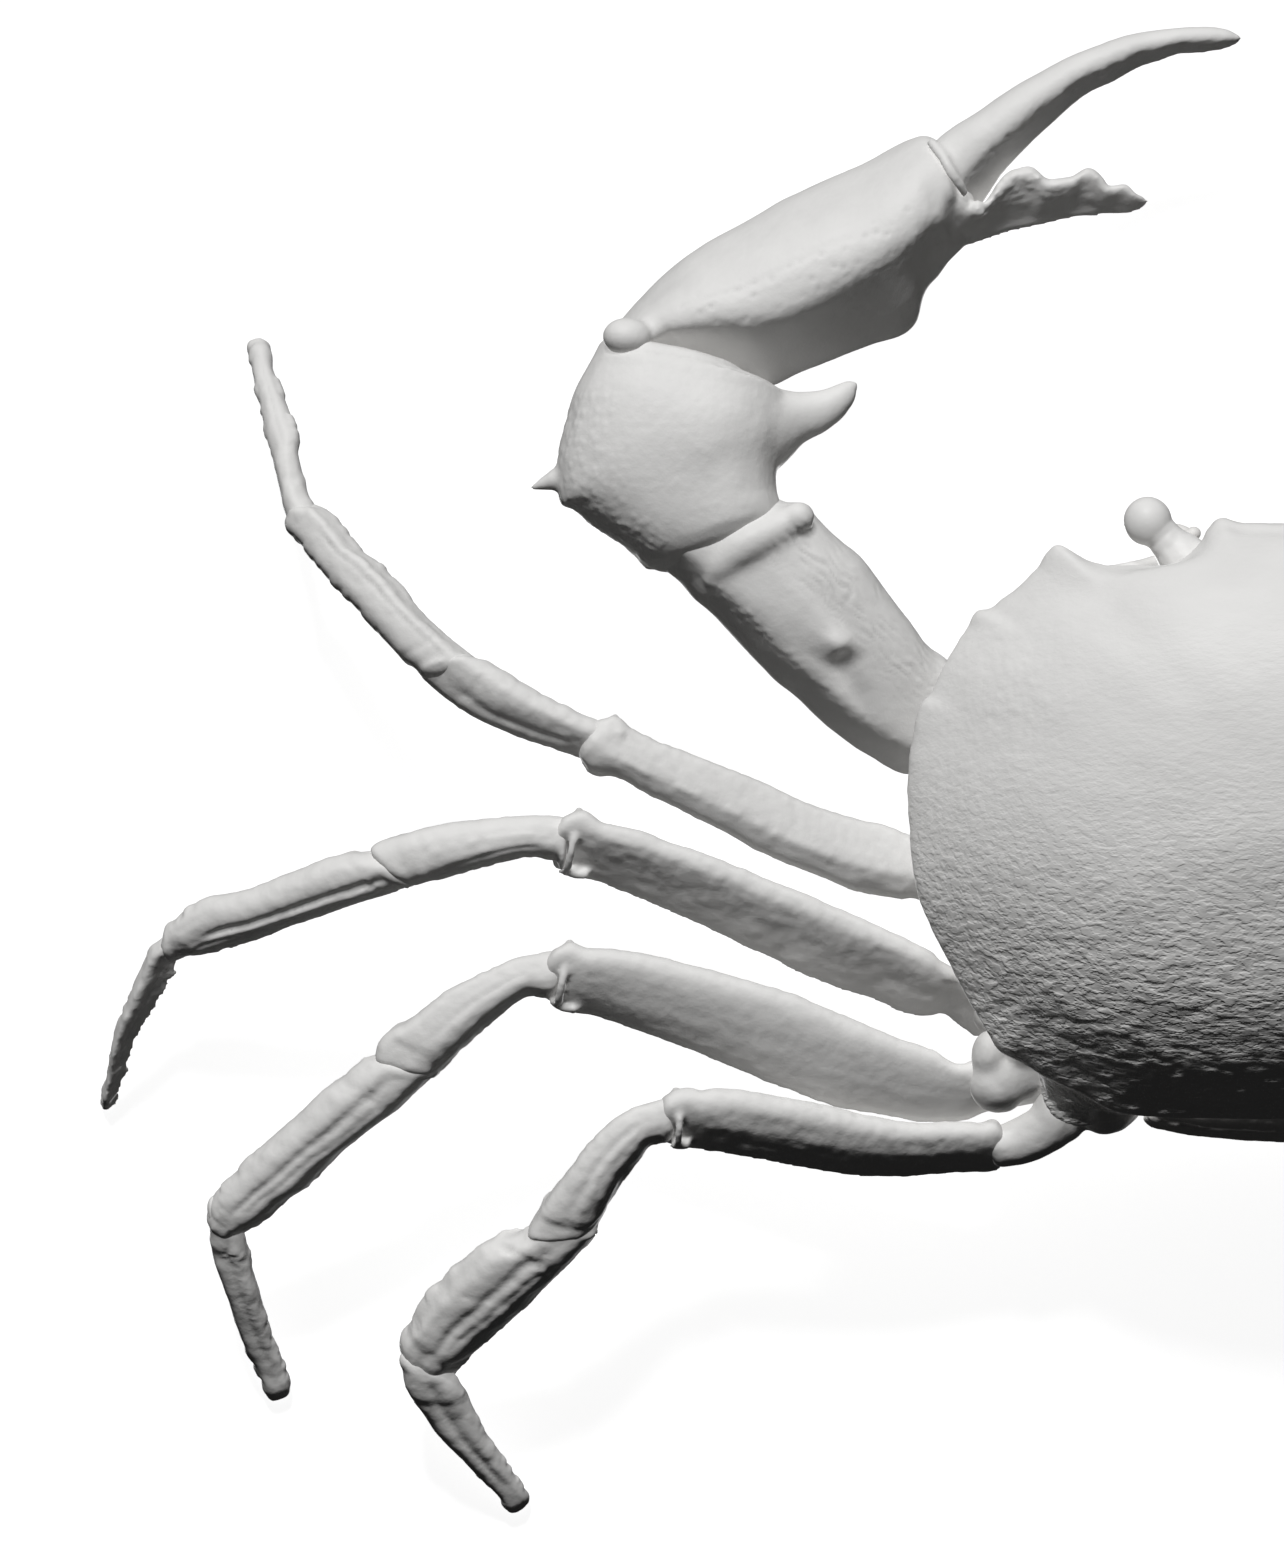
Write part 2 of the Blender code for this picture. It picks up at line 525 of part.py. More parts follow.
def make_leg(name, pieces, mat, side_name):
    """The five pieces of a walking leg, each facing its neighbour across a gap."""
    side = SIDES[side_name]
    for i, rows in enumerate(pieces):
        start = direction(rows[0], rows[1])
        end = direction(rows[-2], rows[-1])
        if i > 0:
            start = (start + direction(pieces[i - 1][-2], pieces[i - 1][-1])).normalized()
        if i < len(pieces) - 1:
            end = (end + direction(pieces[i + 1][0], pieces[i + 1][1])).normalized()
        bm = loft(leg_rings(rows, start, end, 1))
        if LEG_PIECES[i] == "dactylus":
            flatten_foot(bm)
        node = "{}_{}_{}".format(name, side_name, LEG_PIECES[i])
        obj = add_object(node, bm, mat, side)
        if LEG_PIECES[i] == "merus":
            fuse(obj, [merus_knob(node + " knob", rows, mat, side)])


def add_teeth(obj, teeth, mat, side):
    """Fuse the teeth of a biting edge into a finger."""
    pieces = []
    for i, (out, fore, up, way, half_base, height) in enumerate(teeth):
        bm = cone(Vector((out, fore, up)), facing(way), half_base, height, TOOTH_SIDES)
        pieces.append(add_object("{} tooth {}".format(obj.name, i), bm, mat, side))
    fuse(obj, pieces)


def make_claw(mat, side_name):
    """The five pieces of a claw, with the spines of its carpus and the teeth of its fingers."""
    side = SIDES[side_name]
    name = "claw_" + side_name
    add_object(name + "_coxa", loft(claw_rings(CLAW_COXA, 1)), mat, side)
    add_object(name + "_merus", loft(claw_rings(CLAW_MERUS, 2)), mat, side)
    carpus = add_object(name + "_carpus", loft(claw_rings(CLAW_CARPUS, 2)), mat, side)
    spines = []
    for spine, rows in (("inner spine", CARPUS_INNER_SPINE), ("outer spine", CARPUS_OUTER_SPINE)):
        bm = loft(claw_rings(rows, 1, 10, ends=False))
        spines.append(add_object("{} {}".format(carpus.name, spine), bm, mat, side))
    fuse(carpus, spines)
    palm = add_object(name + "_palm", loft(claw_rings(CLAW_PALM, 1)), mat, side)
    finger = loft(claw_rings(FIXED_FINGER, 2, 10, ends=False))
    fuse(palm, [add_object(palm.name + " fixed finger", finger, mat, side)])
    add_teeth(palm, FIXED_TEETH, mat, side)
    moving = add_object(name + "_finger", loft(claw_rings(MOVING_FINGER, 2, 12, ends=False)), mat, side)
    add_teeth(moving, MOVING_TEETH, mat, side)


for old in list(bpy.data.objects):
    bpy.data.objects.remove(old, do_unlink=True)
CRAB = bpy.data.collections.new("carcinoplax_suruguensis")
bpy.context.scene.collection.children.link(CRAB)

shell = material("shell", SHELL_COLOUR, 0.45)
underside = material("underside", UNDERSIDE_COLOUR, 0.5)
cornea = material("cornea", CORNEA_COLOUR, 0.15)

make_carapace(shell)
make_thorax(underside)
make_abdomen(underside)
for side_name, side in SIDES.items():
    make_mouth_plate("maxilliped_" + side_name, underside, side)
    make_eye("eye_" + side_name, cornea, side)
    make_antenna("antenna_" + side_name, shell, side)
    make_claw(shell, side_name)
    for leg_name, leg_pieces in LEGS.items():
        make_leg(leg_name, leg_pieces, shell, side_name)
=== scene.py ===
import math

import bpy
import numpy as np
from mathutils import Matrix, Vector


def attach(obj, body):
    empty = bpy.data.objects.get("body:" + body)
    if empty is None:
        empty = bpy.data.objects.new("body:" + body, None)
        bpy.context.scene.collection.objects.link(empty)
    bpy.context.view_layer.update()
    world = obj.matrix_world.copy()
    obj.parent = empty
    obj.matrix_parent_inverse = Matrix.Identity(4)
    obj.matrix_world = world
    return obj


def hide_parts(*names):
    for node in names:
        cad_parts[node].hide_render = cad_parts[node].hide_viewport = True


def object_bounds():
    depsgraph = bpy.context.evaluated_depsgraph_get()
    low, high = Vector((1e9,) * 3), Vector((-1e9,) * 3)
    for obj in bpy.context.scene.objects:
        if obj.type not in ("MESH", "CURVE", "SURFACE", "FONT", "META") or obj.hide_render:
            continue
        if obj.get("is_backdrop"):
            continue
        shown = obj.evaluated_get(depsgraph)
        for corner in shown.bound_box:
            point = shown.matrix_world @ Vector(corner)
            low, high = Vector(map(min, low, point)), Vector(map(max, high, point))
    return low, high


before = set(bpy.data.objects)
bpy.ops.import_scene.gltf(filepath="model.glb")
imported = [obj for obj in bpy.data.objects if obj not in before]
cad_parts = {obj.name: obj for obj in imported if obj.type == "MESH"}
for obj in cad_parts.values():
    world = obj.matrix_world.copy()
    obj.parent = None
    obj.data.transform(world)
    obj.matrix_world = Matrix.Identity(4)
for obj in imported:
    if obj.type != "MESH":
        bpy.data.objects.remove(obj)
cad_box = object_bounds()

MM = 0.001
PIXEL = 30.0 / 804.0      # millimetres to a pixel of the photo, from a shell 30 mm wide
MIDLINE = 1310.0          # column of the photo where the crab's midline would be
LEVEL = 774.0             # row of the photo where forward is 0
SIDES = {"right": 1.0, "left": -1.0}
UP = np.array([0.0, 0.0, 1.0])

FINE = 240                # points of a finely drawn line
STATIONS = 90             # rings along a limb piece
CORNERS = 48              # corners round a limb piece
CAP_RINGS = 5             # rings that round off the end of a limb piece
TURNS = 1080              # corners round the shell of the back
# Millimetres between the corners of the finished pieces
VOXEL = {
    "carapace": 0.092, "claw": 0.105, "claw coxa": 0.11, "leg": 0.097, "leg coxa": 0.1,
    "thorax": 0.16, "abdomen": 0.14, "mouth": 0.08, "small": 0.05,
}
TUCK_REACH = 0.9          # millimetres over which an end is drawn in
PAINTED_HOLLOW_DEPTH = 0.02       # depth of a hollow, in millimetres, that gets the full painted shade
FOOT_LEVEL = 0.0          # the floor under the feet
SEEDS = {"right": 31, "left": 74}

CENTRE = np.array([0.0, -1.9])   # the middle of the back, where it is highest
TOP = 16.6
DOME_FRONT = (3.1, 0.82)         # powers of the back's curve to the front and side
DOME_SIDE = (2.4, 0.85)
# Height of the back behind its middle, as shares of its reach and its rise
REAR_RISE = (
    (0.0, 1.0), (0.09, 0.979), (0.19, 0.94), (0.4, 0.827), (0.54, 0.728), (0.61, 0.663),
    (0.68, 0.581), (0.75, 0.484), (0.82, 0.37), (1.0, 0.0),
)
WALL_LEVEL = 10.4                # height of the edge that the heights of WALLS belong to
ORBIT = (6.7, 1.9, 0.6)          # place, half width and depth of the hollow for an eye
# The part of the shell's underside that the thorax hides: top, middle, half width, half length
HIDDEN = (7.75, -2.4, 10.2, 8.6)

# Heights of the shell's edge: (out, forward, up)
EDGE_HEIGHTS = (
    (0, 9.30, 12.2), (1.9, 9.35, 12.2), (3.4, 9.50, 12.05), (3.95, 9.15, 12.0), (4.25, 8.50, 12.0),
    (5.1, 7.85, 12.1), (6.3, 7.74, 12.1), (7.7, 7.76, 11.9), (8.7, 8.10, 11.5), (9.42, 8.55, 11.1),
    (10.9, 7.00, 11.1), (12.5, 6.06, 10.6), (13.5, 4.30, 10.7), (14.6, 2.62, 10.3),
    (14.95, 0.30, 10.4), (14.8, -3.40, 10.4), (14.3, -5.40, 10.3), (13.35, -7.30, 10.1),
    (12.2, -9.30, 9.9), (10.8, -10.70, 9.7), (9.0, -11.70, 9.6), (7.2, -12.35, 9.4),
    (5.0, -12.50, 9.4), (0, -12.65, 9.4),
)
# Walls under the edge: share of its reach, height, how far that follows the edge's rise, and
# how far the skirt at the rear corners stands out
WALLS = (
    (0.999, 10.15, 1.0, 0.0), (0.985, 9.8, 1.0, 0.15), (0.965, 9.3, 0.9, 0.4),
    (0.935, 8.7, 0.7, 0.75), (0.9, 7.9, 0.2, 1.0), (0.8, 7.3, 0.0, 0.7), (0.4, 7.2, 0.0, 0.0),
)
SKIRT = (140.0, 10.5, 0.85)    # direction from the front and spread in degrees, and reach
# Soft swellings of the back: (out, forward, half width, half length, height)
BACK_REGIONS = (
    (0.0, 1.5, 3.4, 3.0, 0.05), (6.2, 2.8, 2.8, 3.0, 0.03), (10.6, -1.5, 2.8, 4.0, 0.05),
    (4.9, -3.4, 0.9, 2.4, -0.04), (0.0, -6.3, 2.6, 2.2, 0.05),
)
# Tubes along the shell's front: (out, forward, up, radius)
LOWER_ORBIT = (
    (9.2, 8.0, 10.8, 0.28), (8.3, 7.6, 10.5, 0.28), (7.5, 7.5, 10.35, 0.28), (6.7, 7.65, 10.3, 0.28),
    (5.97, 7.82, 10.3, 0.28), (5.2, 8.0, 10.2, 0.3), (4.5, 8.2, 10.2, 0.3),
)
FRONT_FOLD = ((0.3, 8.6, 10.7, 0.45), (1.9, 8.8, 10.6, 0.5), (3.3, 8.75, 10.6, 0.42))
MOUTH_RIDGE = (
    (-6.0, 7.2, 9.0, 0.4), (-4.0, 8.0, 8.9, 0.45), (0.0, 8.3, 8.8, 0.5), (4.0, 8.0, 8.9, 0.45),
    (6.0, 7.2, 9.0, 0.4),
)

CORNEA = (6.12, 9.40, 11.2)
EYE_ROOT = (4.95, 8.12, 10.9)
EYE_STALK = (
    (4.6, 7.8, 11.0, 1.05), (4.95, 8.2, 11.05, 0.92), (5.35, 8.62, 11.1, 0.72),
    (5.7, 8.98, 11.15, 0.7), (6.0, 9.28, 11.2, 0.8),
)
ANTENNA = (
    (4.6, 8.75, 10.1, 0.4), (5.05, 9.0, 9.75, 0.33), (5.8, 8.95, 9.6, 0.27), (6.45, 8.85, 9.6, 0.22),
)
ANTENNULE = (4.4, 8.95, 10.75)
ANTENNULE_OUTER = (4.7, 8.84, 10.7)
# Plates of the outer mouthpart: (out, forward, up, half width, half height)
MOUTH_PLATES = (
    ((1.35, 2.95, 4.7, 0.95, 0.65), (1.45, 4.2, 4.6, 1.1, 0.7), (1.5, 5.35, 5.0, 1.15, 0.65)),
    ((1.65, 5.5, 5.2, 1.15, 0.55), (1.75, 6.4, 5.7, 1.2, 0.55), (1.7, 7.2, 6.3, 1.0, 0.45)),
    ((3.2, 3.1, 5.0, 0.42, 0.6), (3.5, 4.6, 4.9, 0.45, 0.6), (3.4, 6.2, 5.5, 0.32, 0.5),
     (3.0, 7.2, 6.2, 0.2, 0.3)),
)
MOUTH_PALP = (
    (1.5, 7.3, 6.5, 0.32), (1.0, 7.5, 6.1, 0.3), (0.72, 7.1, 5.5, 0.26), (0.62, 6.4, 5.1, 0.2),
)
# Half of the thorax from above, and its rings: share of that outline, height
THORAX_EDGE = (
    (0, 2.6), (3.9, 2.5), (6.2, 1.9), (7.6, 0.2), (8.3, -3.2), (8.1, -7.4), (7.3, -10.3),
    (6.3, -11.7), (4.4, -12.0), (0, -12.2),
)
THORAX_RINGS = (
    (0.3, 7.3), (0.97, 7.2), (1.0, 6.2), (0.99, 5.0), (0.94, 4.1), (0.84, 3.5), (0.65, 3.2),
    (0.4, 3.1), (0.1, 3.1),
)
THORAX_MIDDLE = np.array([0.0, -5.0])
SUTURES = (-0.8, -3.6, -6.4, -9.2)
# The folded abdomen's middle line: (forward, up, half width), and where its joints cross it
ABDOMEN_PATH = (
    (-12.15, 8.9, 5.0), (-12.6, 8.35, 5.6), (-12.95, 7.6, 6.0), (-13.12, 6.6, 6.2),
    (-13.15, 5.4, 6.1), (-12.95, 3.6, 5.6), (-12.35, 2.3, 5.0),
    (-10.4, 2.1, 4.4), (-6.6, 2.1, 3.3), (-2.8, 2.1, 2.3), (-0.4, 2.1, 1.5), (0.7, 2.1, 0.7),
)
ABDOMEN_JOINTS = (1.4, 3.0, 5.0, 7.4, 9.9, 12.4, 14.9, 17.0)

# Outline of the left half of the back in the photo, from the midline in front to behind
MARGIN = (
    (1310, 525), (1284, 525), (1240, 524), (1230, 522), (1217, 519), (1207, 527), (1203, 533),
    (1200, 540), (1196, 545), (1185, 556), (1172, 564), (1150, 566), (1125, 566), (1105, 566),
    (1098, 565), (1085, 561), (1075, 555), (1058, 546), (1050, 549), (1042, 559), (1035, 570),
    (1015, 589), (1000, 600), (990, 608), (975, 612), (967, 627), (958, 641), (947, 659),
    (940, 672), (930, 693), (920, 704), (915, 720), (912, 740), (909, 760), (907, 790), (908, 820),
    (910, 850), (914, 880), (920, 902), (928, 922), (940, 947), (950, 965), (960, 984), (970, 1003),
    (980, 1020), (988, 1035), (1000, 1052), (1020, 1062), (1047, 1078), (1080, 1094), (1101, 1106),
    (1120, 1113), (1160, 1117), (1220, 1118), (1310, 1119),
)

# Outlines of claw pieces in the photo: upper edge, lower edge and middle, body to tip
CLAW_OUTLINES = {
    "merus": (
        ((946, 660), (933, 651), (920, 640), (905, 617), (893, 601), (880, 583), (862, 558), (850, 547),
         (838, 538), (820, 521), (810, 509), (803, 503), (797, 502), (785, 502), (781, 499)),
        ((907, 775), (895, 771), (880, 762), (860, 750), (840, 736), (820, 720), (797, 698), (775, 680),
         (755, 660), (730, 633), (710, 612), (693, 598), (680, 582), (668, 573), (655, 563), (640, 552)),
        ((935, 725), (880, 672), (800, 600), (715, 525)),
    ),
    "carpus": (
        ((781, 505), (776, 485), (778, 455), (785, 430), (786, 405), (775, 388), (755, 381), (745, 374)),
        ((634, 552), (600, 531), (583, 518), (572, 508), (560, 503), (557, 463), (565, 425), (573, 395),
         (590, 362), (600, 343)),
        ((705, 530), (672, 450), (672, 357)),
    ),
    "inner spine": (
        ((745, 378), (770, 385), (785, 390), (800, 391.5), (820, 390), (835, 385), (848, 380), (853, 381)),
        ((745, 492), (772, 474), (790, 458), (805, 442), (825, 432), (838, 422), (845, 415), (855, 400),
         (857, 388)),
        ((745, 436), (778, 427), (820, 411), (855, 384)),
    ),
    "palm": (
        ((604, 345), (610, 333), (620, 320), (635, 303), (655, 282), (680, 260), (700, 246), (720, 234),
         (750, 218), (780, 200), (800, 190), (830, 176), (855, 166), (870, 159), (890, 148), (905, 140),
         (915, 136), (925, 133.5), (935, 137)),
        ((652, 352), (700, 361), (740, 374), (770, 385), (800, 372), (830, 360), (860, 348), (880, 341),
         (900, 335), (912, 328), (920, 318), (923, 305), (927, 292), (933, 282), (940, 275), (950, 260),
         (962, 248)),
        ((640, 330), (752, 300), (837, 262), (928, 200), (955, 180)),
    ),
    "fixed": (
        ((948, 190), (966, 200), (979, 205), (988, 198), (995, 187), (1001, 178), (1008, 171), (1018, 167),
         (1032, 165), (1047, 178), (1050, 178), (1070, 176), (1075, 174), (1090, 166), (1105, 178),
         (1108, 185), (1115, 184), (1128, 183), (1136, 192), (1143, 194), (1147, 198)),
        ((935, 268), (948, 258), (962, 248), (980, 242), (1000, 235), (1020, 229), (1045, 224), (1070, 218),
         (1090, 215), (1110, 214), (1130, 213), (1142, 209), (1149, 203)),
        ((941, 232), (962, 229), (1050, 203), (1146, 202)),
    ),
    "moving": (
        ((935, 137), (945, 130), (960, 121), (980, 109), (1000, 95), (1020, 82), (1045, 68), (1070, 55),
         (1100, 43), (1130, 33), (1160, 28), (1190, 25), (1215, 25), (1230, 28), (1239, 33)),
        ((975, 212), (982, 210), (990, 195), (1000, 178), (1010, 165), (1030, 145), (1045, 130),
         (1065, 112), (1090, 92), (1115, 80), (1140, 66), (1160, 60), (1180, 53), (1195, 52), (1215, 50),
         (1232, 46), (1240, 41)),
        ((958, 172), (1018, 117), (1090, 70), (1165, 42), (1238, 38)),
    ),
}
CLAW_LIP = ((713, 579), (723, 565), (738, 550), (752, 541), (768, 534), (784, 526), (797, 519))
# Height and radius of the lip at those places
CLAW_LIP_ROWS = (
    (9.4, 0.38), (9.75, 0.55), (9.92, 0.68), (9.95, 0.7), (9.85, 0.66), (9.7, 0.6), (9.5, 0.52),
)
PALM_RIDGE = (
    (640, 346), (652, 340), (680, 330), (720, 326), (760, 323), (800, 313), (830, 298), (860, 280),
    (890, 262), (920, 243), (945, 222), (958, 206), (966, 194),
)
# Places across a limb, in shares of its half width, and corners of a section's lower face
ACROSS = (0.92, 0.8, 0.6, 0.4, 0.2, 0.0, -0.2, -0.4, -0.6, -0.8, -0.92)
BELOW = ((-0.85, -0.78), (-0.3, -1.0), (0.3, -1.0), (0.85, -0.78))
# Upper faces of claw pieces, at the places ACROSS, in shares of the half height
CLAW_MERUS = (0.6, 0.78, 0.92, 0.98, 1.0, 1.0, 0.99, 0.97, 0.9, 0.6, 0.34)
CLAW_CARPUS = (0.5, 0.72, 0.9, 0.98, 1.0, 0.98, 0.95, 0.9, 0.8, 0.6, 0.38)
FIXED_FINGER = (0.75, 0.98, 0.94, 0.78, 0.6, 0.4, 0.18, -0.05, -0.3, -0.5, -0.6)
MOVING_FINGER = (0.4, 0.64, 0.85, 0.95, 1.0, 1.0, 0.9, 0.62, 0.28, -0.05, -0.3)
FOLDS = 2 * math.pi / 0.3      # the claw merus's fine folds are 0.3 mm apart
CARPUS_BEND = (25.0, 10.2, 10.0)    # where the claw's carpus turns over, drawn smooth
# The lip at the moving finger's hinge: (out, forward, up, radius)
FINGER_LIP = (
    (14.1, 23.55, 6.95, 0.2), (13.72, 23.06, 7.5, 0.21), (13.42, 22.52, 7.74, 0.21),
    (13.12, 22.08, 7.64, 0.2), (12.88, 21.7, 7.34, 0.18),
)
MERUS_TOOTH = (0.44, 0.0)    # the claw merus's blunt tooth: shares along and across
OUTER_SPINE = (
    (26.9, 11.3, 8.0, 0.85), (27.9, 11.05, 8.0, 0.52), (28.5, 10.87, 7.95, 0.3),
    (29.02, 10.68, 7.9, 0.1),
)
# Teeth of the two fingers, as (place, radii)
FIXED_TEETH = (((10.7, 21.85, 5.7), (0.75, 0.8, 0.75)), ((8.15, 21.9, 5.6), (0.5, 0.62, 0.6)))
MOVING_TEETH = (
    ((10.6, 24.5, 5.5), (0.4, 0.4, 0.5)), ((9.1, 25.6, 5.5), (0.34, 0.34, 0.42)),
    ((7.5, 26.4, 5.5), (0.28, 0.28, 0.34)),
)
# Marks on the claw: (place across, half width, start, end, height, kind)
CLAW_MARKS = {
    "merus": ((0.5, 0.34, 0.0, 0.86, 0.028, "folds"), (-0.62, 0.1, 0.05, 0.9, 0.035, "granules")),
    "carpus": ((-0.75, 0.25, 0.0, 0.7, 0.035, "granules"), (0.0, 1.5, -0.1, 1.1, 0.014, "granules")),
    "palm": ((-0.2, 0.16, 0.05, 0.95, 0.02, "granules"), (0.25, 0.05, 0.15, 0.75, 0.02, "line"),
             (0.05, 0.3, 0.1, 1.0, 0.035, "pits")),
    "finger": ((-0.3, 0.3, 0.05, 0.7, 0.04, "granules"),),
}
# Claw rows: (out, forward, up, half width, half height)
CLAW_ROWS = {
    "coxa": (
        (7.9, 0.75, 5.1, 1.6, 1.55), (9.9, 0.05, 5.1, 1.7, 1.6), (11.6, -0.55, 5.2, 1.6, 1.55),
    ),
    "merus": (
        (11.85, -0.45, 5.25, 1.75, 1.65), (13.9, 1.35, 5.7, 2.2, 1.8), (16.2, 3.5, 6.7, 2.45, 2.1),
        (18.1, 5.5, 7.3, 2.7, 2.3), (20.1, 7.35, 7.75, 2.7, 2.3), (22.4, 9.25, 7.9, 3.0, 2.1),
    ),
    "carpus": (
        (22.5, 9.0, 8.2, 2.9, 2.5), (23.8, 10.55, 8.0, 4.2, 2.7), (23.7, 12.1, 7.9, 4.25, 2.9),
        (23.4, 13.8, 7.6, 4.05, 2.8), (23.1, 15.6, 7.3, 3.75, 2.2),
    ),
    "inner spine": (
        (21.1, 12.6, 7.7, 2.1, 2.3), (20.2, 12.9, 7.7, 1.7, 1.75), (18.9, 13.3, 7.7, 1.1, 0.95),
        (17.6, 13.95, 7.7, 0.66, 0.55), (16.95, 14.4, 7.7, 0.34, 0.24),
    ),
    "palm": (
        (25.15, 16.0, 7.2, 1.15, 1.3), (24.45, 16.5, 7.1, 1.42, 1.7), (23.3, 16.55, 7.0, 2.15, 2.1),
        (21.8, 16.95, 6.9, 2.82, 2.4), (19.55, 18.05, 6.7, 3.0, 2.6), (17.3, 19.1, 6.5, 3.2, 2.65),
        (15.4, 20.0, 6.4, 3.12, 2.5), (14.25, 21.1, 6.3, 2.65, 2.2), (13.42, 21.75, 6.3, 2.1, 1.7),
    ),
    "fixed": (
        (13.0, 20.1, 6.2, 0.8, 1.1), (11.45, 20.72, 6.1, 0.68, 0.95), (9.9, 21.2, 6.0, 0.74, 0.8),
        (8.2, 21.45, 5.9, 0.62, 0.65), (7.1, 21.42, 5.85, 0.46, 0.5), (6.1, 21.32, 5.8, 0.2, 0.26),
    ),
    "moving": (
        (13.12, 22.42, 6.3, 1.36, 1.3), (11.7, 23.85, 6.3, 1.16, 1.15), (10.1, 25.09, 6.2, 0.97, 1.0),
        (8.45, 26.19, 6.1, 0.79, 0.85), (6.6, 26.99, 6.0, 0.65, 0.7), (4.7, 27.42, 5.9, 0.51, 0.55),
        (3.4, 27.5, 5.85, 0.42, 0.42), (2.65, 27.47, 5.8, 0.24, 0.26),
    ),
}

# Swellings of the leg bases, as (place, radii)
COXA_LOBES = {
    "leg_1": (((9.3, -4.9, 5.5), (1.2, 1.45, 1.35)),),
    "leg_2": (((9.0, -7.95, 5.5), (1.2, 1.35, 1.35)),),
    "leg_3": (((11.6, -11.5, 6.9), (1.15, 1.2, 1.2)), ((12.0, -10.5, 7.3), (0.65, 0.95, 0.95)),
              ((10.7, -11.1, 6.8), (1.1, 1.1, 0.95)), ((10.6, -10.2, 7.3), (1.0, 0.9, 0.95))),
    "leg_4": (((9.0, -13.1, 5.9), (0.62, 0.66, 0.85)), ((10.8, -13.7, 5.95), (0.85, 0.86, 0.95)),
              ((9.75, -13.3, 6.0), (0.95, 0.86, 1.0)), ((7.6, -11.3, 6.0), (1.7, 2.2, 3.3))),
}

